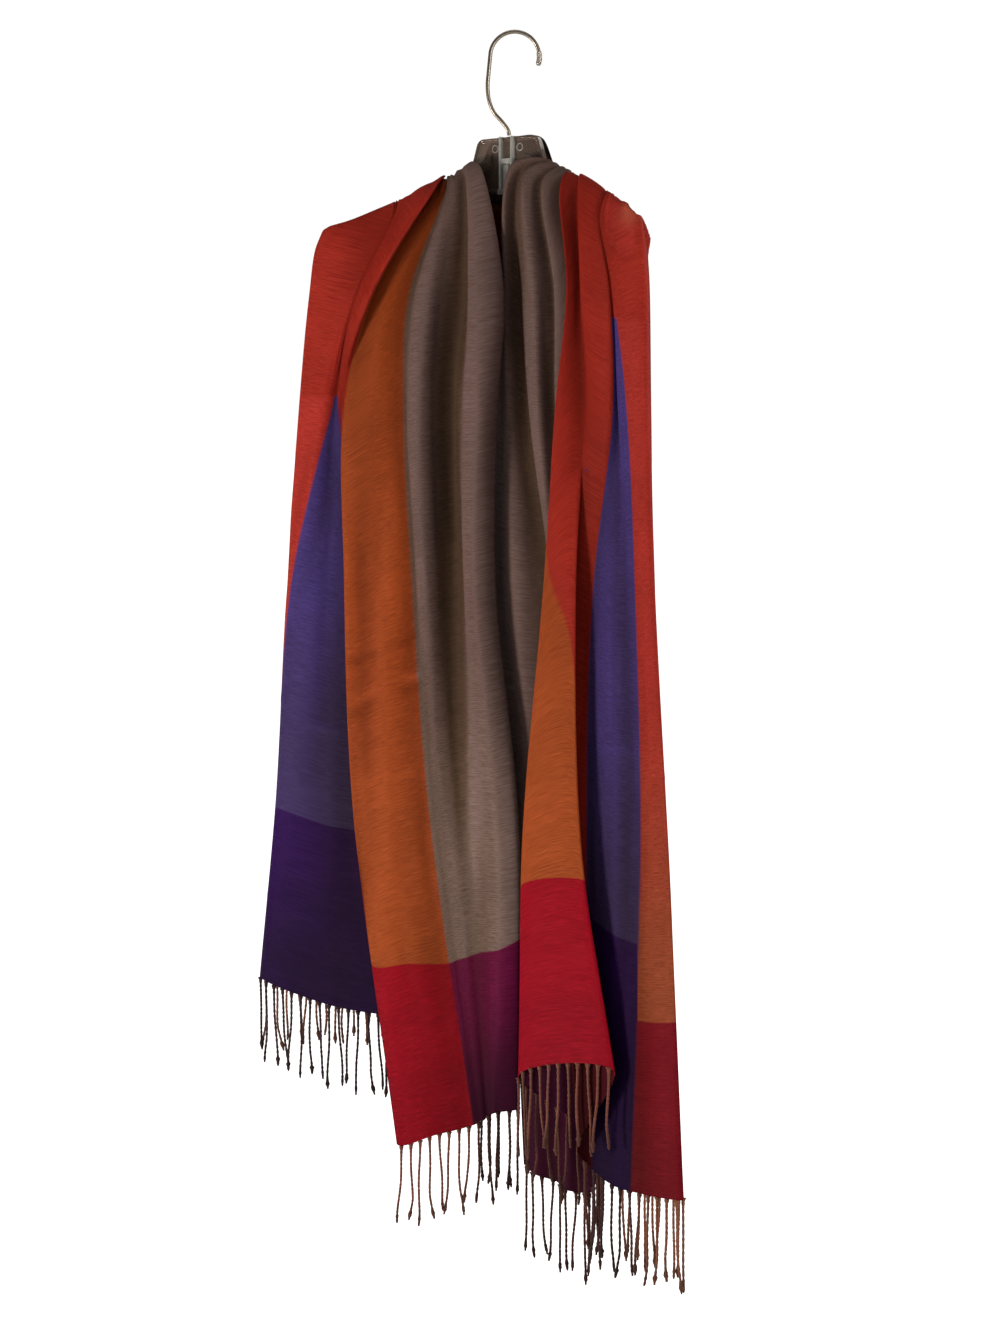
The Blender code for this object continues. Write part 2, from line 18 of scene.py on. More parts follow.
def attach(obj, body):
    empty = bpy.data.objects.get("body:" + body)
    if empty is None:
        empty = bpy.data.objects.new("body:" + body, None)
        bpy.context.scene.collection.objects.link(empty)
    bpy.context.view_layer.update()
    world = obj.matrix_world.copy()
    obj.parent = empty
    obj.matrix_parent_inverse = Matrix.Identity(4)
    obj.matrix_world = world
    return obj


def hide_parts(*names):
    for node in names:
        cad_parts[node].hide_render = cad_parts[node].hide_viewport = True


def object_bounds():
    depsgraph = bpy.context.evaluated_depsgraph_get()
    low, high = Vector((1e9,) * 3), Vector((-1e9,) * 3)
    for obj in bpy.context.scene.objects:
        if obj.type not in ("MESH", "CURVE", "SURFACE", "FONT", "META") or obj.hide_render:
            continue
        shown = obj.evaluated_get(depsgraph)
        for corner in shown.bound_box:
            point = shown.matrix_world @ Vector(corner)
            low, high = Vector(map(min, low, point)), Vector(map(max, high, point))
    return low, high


bl_info = {
    "name": "Rebozo shawl on a clear hanger",
    "version": (1, 0, 0),
    "blender": (4, 5, 0),
    "location": "3D View > Sidebar > Rebozo",
    "description": "Builds the cloth, fringe, hanger and hook of a hung striped shawl",
    "category": "Object",
}

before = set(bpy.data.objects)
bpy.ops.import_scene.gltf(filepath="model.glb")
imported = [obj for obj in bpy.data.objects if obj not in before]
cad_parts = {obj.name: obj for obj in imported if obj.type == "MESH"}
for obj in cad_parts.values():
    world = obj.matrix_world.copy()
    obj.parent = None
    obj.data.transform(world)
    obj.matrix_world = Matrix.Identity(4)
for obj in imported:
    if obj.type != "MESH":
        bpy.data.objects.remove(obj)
CAD_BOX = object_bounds()

MM = 0.001

# Hook and hanger, as in the part's source
WIRE = 4.0
ARCH_RADIUS = 24.5
ARCH_SIDE = 5.5
ARCH_HEIGHT = 78.0
HOOK_TURN = math.radians(38.0)
HOOK_KNEES = ((0, 2.0), (-1, 7), (-7, 15), (-15, 24), (-20, 36), (-21.5, 50), (-20.5, 63))
HOOK_TIP = -26
ARCH_STEP = 14
PLATE_DEPTH = 7.0
PLATE_LIP = 7.0
PLATE_TOP_HALF = 37.0
PLATE_LOW_HALF = 47.0
PLATE_WIDEST = 31.0
PLATE_FOOT_HALF = 30.0
PLATE_FOOT = 54.0
PLATE_CORNER = 7.0
PLATE_RIM = 2.6
PLATE_STEP = 0.8
PLATE_PANEL = 1.4
ARM_START = 20.0
ARM_END = 193.0
ARM_SPAN = 200.0
ARM_FORWARD = 60.0
ARM_TOP_AT_PLATE = 35.0
ARM_SLOPE = 0.45
ARM_WIDE = 9.0
ARM_TALL = 14.0
ARM_ROUND = 1.5
ARM_STEPS = 24
SOCKET_HALF = 8.5
SOCKET_TOP = 5.5
SOCKET_FOOT = 63.0
SOCKET_PROUD = 3.0
SOCKET_WALL = 2.6
SOCKET_BAR = 5.0
# Two raised rings on the plate beside the socket
RING_OUTS = (-16, 15)
RING_DROP = 17.5
# Points of the hook's line that the sleeve covers
SLEEVE_KNOTS = 13

# Cloth: its flat width, and how many parts of it the tables' places across count in
WIDTH = 650.0
ACROSS = 700.0
# Fringe: pitch and length of the strands, the strip under the hem that they start in, one
# whole turn of their two plies, and how far the plies stand out of the round
STRAND_PITCH = 12.5
STRAND_LONG = 84.0
STRIP_DEEP = 5.0
TWIST_LONG = 9.0
PLY_PROUD = 0.22
STRAND_RINGS = 34
STRAND_SIDES = 8

HEIGHTS = (None, 160.0, 275.0, 450.0, 700.0, None)
# Rows of the shell between hem, hip, waist, chest, yoke and arm, over the arm, and behind
STEPS_FRONT = (62, 54, 38, 26, 22)
STEPS_OVER = (7, 7)
STEPS_BEHIND = (16, 14, 14)
COLUMNS = 11

# One row for each fold line, from the neck edge outwards:
# name, out at the arm and the five heights below it, fore at the same, drop of the hem,
# place across the flat cloth at the same heights, in 700ths of its width (one number where it
# stays), depth of the end band
LEFT_FALL = (
    ("selvage", (-32, -30, -30, -38, -26, -37), (15, 17, 17, 18, 18, 8), 1000, 0, 188),
    ("inner_fold", (-20, 15, 8, 6, 36, 24), (22, 28, 28, 30, 30, 14), 1000, 50, 188),
    ("long_ridge", (-34, -5, -2, -9, 20, 2), (25, 44, 48, 46, 42, 25), 1006, 70, 180),
    ("deep_valley", (-45, -44, -58, -45, -26, -8), (16, 19, 18, 20, 31, 26), 1012, 115, 175),
    ("valley_side", (-53, -63, -74, -65, -45, -11), (20, 27, 26, 28, 35, 28.5), 1016, 140, 174),
    ("narrow_crest", (-61, -74, -83, -76, -60, -15), (19, 39, 43, 42, 38, 30), 1018, 165, 173),
    ("stripe_edge", (-69, -104, -108, -97, -72, -21), (17, 33, 37, 39, 41, 33), 1022, 200, 173),
    ("panel_middle", (-79, -126, -146, -137, -119, -62), (20, 42, 47, 50, 51, 47), 1038, 240, 184),
    ("panel_edge", (-92, -144, -182, -176, -164, -104), (22, 45, 47, 56, 58, 60), 1053, 280, 194),
    ("turn", (-76, -134, -187, -142, -120, -68), (31, 57, 45, 43, 41, 38), 942,
     (300, 350, 372, 345, 335, 335), 196),
    ("side_first", (-120, -152, -192, -166, -152, -110), (35, 58, 46, 34, 33, 34), 926,
     (374, 372, 385, 385, 380, 380), 198),
    ("pleat", (-123, -155, -196, -206, -214, -206), (35, 57, 47, 42, 44, 50), 922,
     (518, 512, 480, 440, 430, 420), 198),
    ("side_second", (-126, -158, -201, -243, -272, -297), (36, 58, 56, 56, 54, 58), 908,
     (520, 520, 515, 490, 462, 455), 198),
    ("side_edge", (-203, -216, -236, -266, -288, -312), (64, 62, 58, 46, 46, 50), 905,
     (560, 562, 565, 530, 500, 494), 196),
    ("back_turn", (-202, -204, -214, -236, -252, -282), (54, 42, 36, 28, 27, 30), 892,
     (600, 600, 605, 580, 560, 555), 194),
    ("back_fold", (-200, -182, -180, -186, -192, -208), (44, 28, 20, 15, 15, 20), 880,
     (650, 650, 650, 640, 630, 625), 192),
    ("outer_edge", (-194, -152, -140, -134, -122, -132), (34, 18, 8, 5, 6, 12), 868, 700, 190),
)
RIGHT_FALL = (
    ("selvage", (17, -6, -14, -16, 0, 18), (17, 6, 3, 2, 0, -4), 1066, 0, 235),
    ("strip_ridge", (23, 8, 12, 22, 40, 38), (22, 18, 18, 18, 14, 5), 1070, 30, 235),
    ("dark_valley", (31, 17, 26, 56, 76, 62), (15, 7, 7, 5, 4, -1), 1074, 65, 230),
    ("long_ridge", (42, 60, 64, 78, 92, 82), (25, 39, 37, 28, 20, 9), 1076, 105, 225),
    ("groove", (55, 75, 77, 91, 103, 99), (18, 26, 25, 21, 15, 5), 1076, 135, 220),
    ("narrow_ridge", (64, 88, 87, 101, 113, 116), (26, 39, 36, 30, 23, 14), 1070, 160, 215),
    ("hidden_turn", (86, 116, 118, 118, 120, 136), (20, 30, 31, 32, 31, 26), 1010,
     (230, 230, 225, 205, 175, 175), 205),
    ("front_edge", (86, 112, 103, 89, 64, 57), (31, 55, 60, 60, 60, 58), 948,
     (305, 305, 305, 268, 208, 200), 196),
    ("panel_edge", (102, 120, 127, 127, 138, 178), (25, 45, 47, 59, 63, 62), 917,
     (335, 335, 340, 300, 258, 275), 188),
    ("turn", (108, 126, 134, 110, 106, 128), (30, 50, 50, 52, 54, 53), 1012,
     (350, 350, 355, 350, 330, 330), 225),
    ("side_first", (137, 161, 163, 134, 127, 136), (41, 57, 53, 45, 43, 41), 1030,
     (357, 357, 368, 372, 374, 374), 255),
    ("pleat", (140, 164, 169, 161, 161, 158), (41, 55, 47, 50, 46, 43), 1040,
     (382, 440, 440, 440, 440, 440), 255),
    ("side_second", (143, 167, 174, 188, 200, 191), (42, 57, 56, 55, 51, 50), 1040,
     (516, 498, 468, 484, 499, 500), 250),
    ("side_edge", (203, 206, 208, 216, 236, 258), (64, 61, 60, 58, 58, 60), 1030, 560, 250),
    ("back_turn", (200, 200, 202, 207, 220, 241), (53, 46, 44, 42, 42, 44), 1032, 600, 174),
    ("back_fold", (197, 188, 184, 180, 182, 197), (44, 29, 23, 20, 21, 24), 1036, 650, 174),
    ("outer_edge", (190, 162, 150, 140, 136, 146), (34, 17, 8, 4, 4, 6), 1040, 700, 174),
)
# The same fold lines over the arm: out at the left and right arm, and just behind either,
# and the cloth's rise above it
OVER_ARM = (
    ("selvage", -52, 50, 50, 2.6),
    ("inner_fold", -50, 53, 53, 4.8),
    ("long_ridge", -56, 57, 57, 2.6),
    ("valley", -61, 62, 62, 5.2),
    ("small_ridge", -66, 67, 67, 2.5),
    ("small_valley", -70, 72, 72, 4.8),
    ("panel_ridge", -74, 88, 77, 4.0),
    ("panel_middle", -82, 80, 83, 4.0),
    ("panel_edge", -91, 95, 90, 4.6),
    ("turn", -76, 100, 98, 8.0),
    ("side_first", -124, 137, 127, 6.4),
    ("pleat", -127, 140, 133, 6.3),
    ("side_second", -130, 143, 139, 6.4),
)
# Folds past the arm's end hang round it: out past the arm's end, fore, drop, and how far in each
# comes as soon as it is behind the arm
ROUND_END = (
    ("side_edge", 3.0, 60, 95, 5.0),
    ("back_turn", 5.5, 54, 104, 9.0),
    ("back_fold", 5.0, 46, 112, 12.0),
    ("outer_edge", 3.0, 39, 118, 14.0),
)
# Swag behind the neck at its middle, from the standing collar to the lower edge:
# drop, aft, place across the flat cloth
SWAG = (
    ("collar_top", 4, 17, 0),
    ("collar_bulge", 18, 23, 40),
    ("collar_fold", 30, 18, 75),
    ("nape_bulge", 41, 26, 105),
    ("nape_fold", 52, 19, 135),
    ("yoke_bulge", 62, 28, 168),
    ("yoke_fold", 74, 22, 200),
    ("first_swag", 91, 37, 240),
    ("first_hollow", 109, 26, 280),
    ("second_swag", 129, 45, 330),
    ("second_hollow", 149, 30, 380),
    ("third_swag", 169, 51, 425),
    ("third_hollow", 191, 35, 475),
    ("fourth_swag", 215, 55, 530),
    ("fourth_hollow", 239, 39, 590),
    ("fifth_swag", 263, 55, 650),
    ("lower_edge", 285, 47, 700),
)
SWAG_WAYPOINTS = (0.66, 0.34)
SWAG_SAG = 1.8
# How much closer to level the first fold lines run behind the plate
COLLAR_SAG = (4.5, 4.0, 3.2, 2.4)
BEHIND_ARM = 13.0
BELOW_ARM = 13.0
SIDE_GAP = 5.0

# Small creases along the cloth, listed one by one. Each is a soft ridge (+) or trough (-):
# half, place across the cloth at its lower and upper end, height above the hem of both ends,
# width, depth
LONG_CREASES = (
    ("left", 110, 76, 200, 1010, 8, 3.4),
    ("left", 136, 112, 240, 1010, 12, -4.0),
    ("left", 182, 178, 430, 1000, 9, 2.6),
    ("left", 178, 182, 40, 520, 9, -0.9),
    ("left", 188, 186, 420, 900, 6, 0.9),
    ("left", 262, 212, 120, 720, 11, 2.6),
    ("left", 284, 243, 160, 760, 8, -0.9),
    ("left", 216, 206, 100, 420, 8, -1.2),
    ("left", 272, 262, 480, 860, 8, 1.2),
    ("left", 408, 418, 60, 420, 12, -1.2),
    ("left", 470, 452, 80, 560, 13, 1.2),
    ("left", 522, 530, 180, 700, 12, -1.2),
    ("left", 545, 520, 420, 790, 9, 1.1),
    ("left", 628, 622, 60, 600, 12, 1.2),
    ("left", 676, 668, 80, 520, 10, -1.0),
    ("right", 18, 14, 80, 800, 6, -0.9),
    ("right", 86, 88, 60, 980, 9, 2.2),
    ("right", 72, 74, 160, 980, 7, -2.0),
    ("right", 118, 120, 300, 960, 6, -0.8),
    ("right", 232, 312, 60, 800, 9, -0.9),
    ("right", 262, 322, 30, 560, 9, 0.9),
    ("right", 246, 300, 520, 960, 6, 1.0),
    ("right", 402, 408, 60, 760, 9, 1.0),
    ("right", 470, 474, 60, 700, 12, -1.2),
    ("right", 524, 530, 200, 960, 9, 1.2),
    ("right", 541, 545, 60, 620, 8, -1.0),
    ("right", 624, 630, 80, 800, 12, 1.2),
    ("right", 672, 676, 80, 620, 10, -1.0),
)
# Packing creases across the cloth: half, places across it, height above the hem at both,
# width, depth
CROSS_CREASES = (
    ("left", 180, 290, 519, 515, 4.5, -1.3),
    ("left", 176, 290, 480, 473, 4.5, 1.5),
    ("left", 176, 290, 469, 462, 4.5, -1.1),
    ("left", 205, 276, 384, 388, 6.0, 0.7),
    ("left", 60, 150, 398, 372, 5.0, 0.7),
    ("left", 400, 540, 300, 322, 5.0, 0.9),
    ("left", 420, 500, 90, 96, 5.0, 0.8),
    ("right", 230, 300, 330, 322, 4.0, 0.8),
    ("right", 215, 276, 92, 86, 4.5, -0.8),
    ("right", 390, 520, 430, 445, 4.0, 0.9),
    ("right", 400, 490, 250, 236, 5.0, -0.8),
    ("right", 560, 680, 410, 402, 5.0, 0.9),
    ("left", 590, 690, 330, 340, 5.0, 0.9),
)

DATUM = PLATE_LIP - (ARCH_HEIGHT + ARCH_RADIUS - WIRE / 2)
CENTRE = Vector((-ARCH_SIDE * math.cos(HOOK_TURN), -ARCH_SIDE * math.sin(HOOK_TURN), 0.0))

STRETCHES = ("neck_fall", "front_panel", "side_fall", "rear_fall", "shoulder")
# Stretches of the fringe, between fold lines, as the solids' strips have them
FRINGES = (
    ("neck_fall", 0, 6),
    ("front_panel", 6, 8),
    ("side_fall", 9 + 1 / 3, 13),
    ("rear_fall", 13, 16),
)

# Pairs of strands whose tips are caught together, by the number of the first, along either hem
MEETINGS = {"left": (11, 16, 21, 25, 31, 39, 46), "right": (2, 5, 10, 17, 25, 30, 38, 43, 48)}

# The photograph was taken from 2.2 m, turned to the garment's right, from about chest height
VIEW_TURN = math.radians(38.0)
VIEW_FAR = 2.2
VIEW_ASIDE = -9.0
VIEW_DROP = 267.0
PHOTO_TALL = 1333.0
PHOTO_FOCAL = 2157.0
PHOTO_HORIZON = 400.0
SENSOR = 36.0

# Stage, in metres: the floor's half width and its gap below the fringe, the colour of the
# surroundings, and the point that the lamps are aimed at
FLOOR_HALF = 30.0
FLOOR_GAP = 0.2
PAPER = (1.0, 0.995, 0.985, 1.0)
AIM = Vector((0.0, 0.0, -0.55))
# Lamps: name, place, width and height, share of the key lamp's power, colour
LAMPS = (
    ("key", (-1.15, -1.8, -0.95), (0.45, 0.7), 1.0, (1, 0.92, 0.82)),
    ("fill", (2.6, -0.3, -0.1), (0.8, 1.2), 0.95, (1, 0.93, 0.88)),
    ("back", (0.6, 2.6, 1.2), (1.4, 1.4), 0.55, (1, 0.98, 0.95)),
)


def linear(hex_colour):
    """An sRGB hex colour as linear red, green and blue."""
    channels = [int(hex_colour[i : i + 2], 16) / 255 for i in (0, 2, 4)]
    return tuple(c / 12.92 if c <= 0.04045 else ((c + 0.055) / 1.055) ** 2.4 for c in channels)


def place(out, fore, drop):
    """A point from the hanger's own measures to metres in the frame."""
    return Vector((CENTRE.x + out, CENTRE.y - fore, DATUM - drop)) * MM


def arm_fore(out):
    return ARM_FORWARD * (out / ARM_SPAN) ** 2


def arm_drop(out):
    return ARM_TOP_AT_PLATE + ARM_SLOPE * (abs(out) - PLATE_LOW_HALF)


def colour_property(name, description, hex_colour):
    return bpy.props.FloatVectorProperty(
        name=name,
        description=description,
        subtype="COLOR",
        size=3,
        min=0.0,
        max=1.0,
        default=linear(hex_colour),
    )


def length_property(name, description, size, low, high):
    """A property for a length, all its values given in millimetres."""
    return bpy.props.FloatProperty(
        name=name,
        description=description,
        default=size * MM,
        min=low * MM,
        max=high * MM,
        unit="LENGTH",
        precision=4,
    )


def light_property(name, description, strength, highest):
    return bpy.props.FloatProperty(
        name=name, description=description, default=strength, min=0.0, max=highest
    )


class RebozoCloth(bpy.types.PropertyGroup):
    """Sizes and colours of the woven cloth"""

    thickness: length_property("Thickness", "Thickness of the woven cloth", 0.9, 0.3, 1.5)
    slub_length: length_property(
        "Slub length", "Length of the thick places in the weft yarn", 22, 5, 100
    )
    slub_pitch: length_property(
        "Slub pitch", "From one streak of weft to the next, drawn wide enough to show", 1.0, 0.5, 5
    )
    thread_pitch: length_property(
        "Thread pitch", "Distance from one weft thread to the next", 0.8, 0.2, 2
    )
    taupe: colour_property("Taupe", "Weft of the stripe along the neck edge", "7a675b")
    orange: colour_property("Orange", "Weft of the burnt orange stripe", "98471d")
    red: colour_property("Red", "Weft of the red stripe", "962a1c")
    blue: colour_property("Blue", "Weft of the violet blue stripe", "3a2e52")
    outer_red: colour_property("Outer red", "Weft of the widest stripe, at the outer edge", "a03024")
    crimson: colour_property("Crimson", "End band under the orange stripe", "8e0818")
    magenta: colour_property("Magenta", "End band under the taupe stripe", "641038")
    purple: colour_property("Purple", "End band under the blue stripe", "2a0c42")
    dark_red: colour_property("Dark red", "End band under both red stripes", "700e18")


class RebozoHanger(bpy.types.PropertyGroup):
    """Finish of the hanger and its hook"""

    smoke: colour_property("Smoke", "Tint of the see-through plate and arms", "77655a")
    plastic: colour_property("Plastic", "Tint of the clear socket and tip sleeve", "f2f4ef")
    wire: colour_property("Wire", "Colour of the hook's wire", "9c9284")


class RebozoStage(bpy.types.PropertyGroup):
    """Floor and light"""

    floor_colour: colour_property("Floor", "Colour of the pale floor", "f4f3f1")
    key_power: light_property(
        "Key light", "Watts of the large lamp in front and to the left", 34.0, 500.0
    )
    above: light_property(
        "Light from above", "Even light from overhead, which keeps the floor pale", 0.7, 10.0
    )
    sky: light_property("Sky", "Light from all around", 0.13, 3.0)
    paper: light_property("Backdrop", "Brightness of the pale surroundings as seen", 1.03, 3.0)


def smooth_between(knots, steps):
    """Rows on centripetal Catmull-Rom curves through knots, steps[i] rows to the i-th stretch.

    A knot is an array whose last axis starts with a point; any numbers after it are blended too.
    """
    knots = np.asarray(knots, float)
    before = 2 * knots[:1] - knots[1:2]
    after = 2 * knots[-1:] - knots[-2:-1]
    ends = np.concatenate([before, knots, after])
    gaps = np.linalg.norm(np.diff(ends[..., :3], axis=0), axis=-1, keepdims=True)
    gaps = np.maximum(gaps, 1e-6) ** 0.5
    rows = [knots[0]]
    for i, count in enumerate(steps):
        p0, p1, p2, p3 = ends[i : i + 4]
        t1 = gaps[i]
        t2 = t1 + gaps[i + 1]
        t3 = t2 + gaps[i + 2]
        for k in range(1, count + 1):
            t = t1 + (t2 - t1) * k / count
            a1 = p0 + (p1 - p0) * t / t1
            a2 = p1 + (p2 - p1) * (t - t1) / (t2 - t1)
            a3 = p2 + (p3 - p2) * (t - t2) / (t3 - t2)
            b1 = a1 + (a2 - a1) * t / t2
            b2 = a2 + (a3 - a2) * (t - t1) / (t3 - t1)
            rows.append(b1 + (b2 - b1) * (t - t1) / (t2 - t1))
    return np.array(rows)


def at_heights(value):
    """A table's place across the cloth, one number or one for each height, hem first."""
    if isinstance(value, tuple):
        return list(value[::-1])
    return [value] * len(HEIGHTS)


def half_thread(table, index, side):
    """Knots of one fold line from the hem to the last waypoint behind the neck."""
    _, outs, fores, hem, across, band = table[index]
    _, low, aft, swag_across = SWAG[index]
    knots = []
    for height, out, fore, w in zip(HEIGHTS[::-1], outs[::-1], fores[::-1], at_heights(across)):
        knots.append([out, fore, height, w, band])
    knots[0][2] = hem
    knots[-1][2] = arm_drop(outs[0]) + BELOW_ARM
    w = knots[-1][3]
    if index < len(OVER_ARM):
        _, left, right, behind, rise = OVER_ARM[index]
        out = left if side < 0 else right
        knots.append([out, arm_fore(out), arm_drop(out) - rise, w, band])
        out = side * behind
        drop = arm_drop(out) + BELOW_ARM - rise
        knots.append([out, arm_fore(out) - BEHIND_ARM, drop, w, band])
    else:
        _, past, fore, drop, turned_in = ROUND_END[index - len(OVER_ARM)]
        knots[-1][2] = drop + BELOW_ARM
        out = side * (ARM_END + past)
        knots.append([out, fore, drop, w, band])
        out = side * (ARM_END + past - turned_in)
        knots.append([out, fore - BEHIND_ARM - SIDE_GAP, drop + BELOW_ARM, w, band])
    sag = COLLAR_SAG[index] if index < len(COLLAR_SAG) else SWAG_SAG
    start = knots[-1]
    for way in SWAG_WAYPOINTS:
        knots.append(
            [
                start[0] * way,
                start[1] * way**2 - aft * (1 - way**2),
                low + (start[2] - low) * way**sag,
                swag_across + (w - swag_across) * way**2,
                band,
            ]
        )
    return knots


def whole_cloth():
    """The middle surface of the whole cloth: rows from the left hem over the neck to the right hem.

    Returns points in millimetres of the hanger's measures, place across the flat cloth, and depth
    of the end band, each by row and column.
    """
    steps = STEPS_FRONT + STEPS_OVER + STEPS_BEHIND
    threads = []
    for index, (_, low, aft, swag_across) in enumerate(SWAG):
        left = half_thread(LEFT_FALL, index, -1)
        right = half_thread(RIGHT_FALL, index, 1)
        middle = [0.0, -aft, low, swag_across, 0.5 * (left[0][4] + right[0][4])]
        threads.append(left + [middle] + right[::-1])
    knots = np.array(threads).transpose(1, 0, 2)
    rows = smooth_between(knots, steps + steps[::-1])
    columns = smooth_between(rows.transpose(1, 0, 2), (COLUMNS,) * (len(SWAG) - 1))
    grid = columns.transpose(1, 0, 2)
    return grid[..., :3], grid[..., 3], grid[..., 4]


def run_from_hems(points):
    """Length along the cloth from the nearer hem, for each point, and the row of the middle."""
    step = np.linalg.norm(np.diff(points, axis=0), axis=2)
    run = np.concatenate([np.zeros((1, points.shape[1])), np.cumsum(step, axis=0)])
    middle = points.shape[0] // 2
    from_left = run
    from_right = run[-1] - run
    length = np.where(np.arange(points.shape[0])[:, None] <= middle, from_left, from_right)
    return length, middle


def tangents(points, axis):
    """Direction of the surface along one axis of the grid, true also where its spacing changes."""
    points = np.moveaxis(points, axis, 0)
    step = np.diff(points, axis=0)
    length = np.maximum(np.linalg.norm(step, axis=-1, keepdims=True), 1e-12)
    unit = step / length
    found = np.empty_like(points)
    found[0] = unit[0]
    found[-1] = unit[-1]
    found[1:-1] = (unit[1:] * length[:-1] + unit[:-1] * length[1:]) / (length[1:] + length[:-1])
    return np.moveaxis(found, 0, axis)


def outward_normals(points):
    normals = np.cross(tangents(points, 0), tangents(points, 1))
    return normals / np.maximum(np.linalg.norm(normals, axis=2, keepdims=True), 1e-12)


def soft_step(values):
    t = np.clip(values, 0.0, 1.0)
    return t * t * (3 - 2 * t)


def unevenness(across, length, seed, sizes, strength):
    """A soft random swell of the cloth, as a few waves of mixed direction and size."""
    chance = np.random.default_rng(seed)
    total = np.zeros_like(across)
    for _ in range(14):
        wave = chance.uniform(*sizes[0])
        wave_along = chance.uniform(*sizes[1])
        slant = chance.uniform(-1, 1)
        phase = chance.uniform(0, 2 * math.pi)
        total += np.sin(2 * math.pi * (across / wave + slant * length / wave_along) + phase)
    return strength * total / math.sqrt(14)


def one_crease(along, over, ends, places, wander, width):
    """A soft ridge of height 1 that runs along one way of the cloth, at places over the other."""
    share = np.clip((along - ends[0]) / (ends[1] - ends[0]), 0, 1)
    window = soft_step(share * 4) * soft_step((1 - share) * 4)
    centre = places[0] + (places[1] - places[0]) * share + wander
    return window * np.exp(-(((over - centre) / width) ** 2))


# Gathers of the cloth as it leaves the arms: pitch in parts of the width, and height
GATHER_PITCH = 26.0
GATHER_TALL = 2.0


def crease_relief(across, length, middle, openness):
    """Height of the listed creases and of the cloth's unevenness, in millimetres.

    openness is the cloth's width as it hangs over its flat width: creases fade where it is folded.
    """
    rows = np.arange(across.shape[0])[:, None]
    half = {"left": rows <= middle, "right": rows > middle}
    relief = np.zeros_like(across)
    arm_row = front_rows() - STEPS_OVER[1]
    run_to_arm = np.where(rows <= middle, length[arm_row], length[-1 - arm_row])
    for side, low_w, high_w, low, high, width, depth in LONG_CREASES:
        wander = 2.0 * np.sin(length / 53.0 + low_w)
        ridge = one_crease(length, across, (low, high), (low_w, high_w), wander, width)
        relief += half[side] * depth * ridge
    for side, near, far, near_height, far_height, width, depth in CROSS_CREASES:
        wander = 2.5 * np.sin(across / 17.0 + near)
        heights = (near_height, far_height)
        ridge = one_crease(across, length, (near, far), heights, wander, width)
        relief += half[side] * depth * ridge
    relief += unevenness(across, length, 3, ((45, 120), (150, 600)), 0.55)
    relief += unevenness(across, length, 8, ((16, 40), (60, 260)), 0.22)
    relief *= np.clip(1.4 * openness - 0.2, 0, 1)
    past_arm = length - run_to_arm
    gathered = soft_step(past_arm / 60 + 0.6)
    lines = across / GATHER_PITCH + 0.5 * np.sin(across / 61) + 0.12 * np.sin(length / 47)
    gathered *= soft_step((across - 60) / 160)
    uneven = 0.75 + 0.25 * np.sin(across / 83 + 1)
    relief += GATHER_TALL * gathered * np.sin(2 * math.pi * lines) * uneven
    return relief


def link_object(name, data):
    obj = bpy.data.objects.new(name, data)
    bpy.context.scene.collection.objects.link(obj)
    return obj


def shell(name, points, normals, uv, values, rims, thickness):
    """A thin shell on a grid of points, with both faces, and rims on the edges that are real.

    rims says which of the first row, last row, first column and last column are the cloth's edge.
    """
    rows, columns = points.shape[:2]
    count = rows * columns
    half = thickness / 2
    fade = np.ones((rows, columns, 1))
    for edge, column in ((2, 0), (3, -1)):
        if rims[edge]:
            fade[:, column] = 0.5
    outer = points + normals * half * fade
    inner = points - normals * half * fade
    verts = np.concatenate([outer.reshape(-1, 3), inner.reshape(-1, 3)])
    index = np.arange(count).reshape(rows, columns)
    a, b = index[:-1, :-1].ravel(), index[:-1, 1:].ravel()
    c, d = index[1:, 1:].ravel(), index[1:, :-1].ravel()
    faces = [np.stack([a, d, c, b], 1), np.stack([a, b, c, d], 1) + count]
    edges = (
        (rims[0], index[0, :][::-1]),
        (rims[1], index[-1, :]),
        (rims[2], index[:, 0]),
        (rims[3], index[:, -1][::-1]),
    )
    for wanted, line in edges:
        if wanted:
            near, far = line[:-1], line[1:]
            faces.append(np.stack([far, near, near + count, far + count], 1))
    faces = np.concatenate(faces)
    mesh = bpy.data.meshes.new(name)
    mesh.from_pydata(verts.tolist(), [], faces.tolist())
    corner = np.empty(len(mesh.loops), np.int32)
    mesh.loops.foreach_get("vertex_index", corner)
    flat = uv.reshape(-1, 2)[corner % count]
    mesh.uv_layers.new(name="Cloth").uv.foreach_set("vector", flat.astype(np.float32).ravel())
    spread = flat / np.array([WIDTH * MM * 2.1, flat[:, 1].max() * 1.02])
    spread[:, 0] += np.where(corner >= count, 0.51, 0.005)
    spread[:, 1] += 0.005
    mesh.uv_layers.new(name="OFBake").uv.foreach_set("vector", spread.astype(np.float32).ravel())
    for key, value in values.items():
        made = mesh.attributes.new(key, "FLOAT", "POINT")
        made.data.foreach_set("value", np.tile(value.reshape(-1), 2).astype(np.float32))
    mesh.shade_smooth()
    both = np.concatenate([normals.reshape(-1, 3), -normals.reshape(-1, 3)])
    mesh.normals_split_custom_set_from_vertices(both.tolist())
    return link_object(name, mesh)


def add_node(tree, kind, settings=None, inputs=None):
    """A shader node with its settings. An input is another node's socket or a value of its own."""
    made = tree.nodes.new(kind)
    for key, value in (settings or {}).items():
        setattr(made, key, value)
    for key, value in (inputs or {}).items():
        if isinstance(value, bpy.types.NodeSocket):
            tree.links.new(value, made.inputs[key])
        else:
            made.inputs[key].default_value = value
    return made


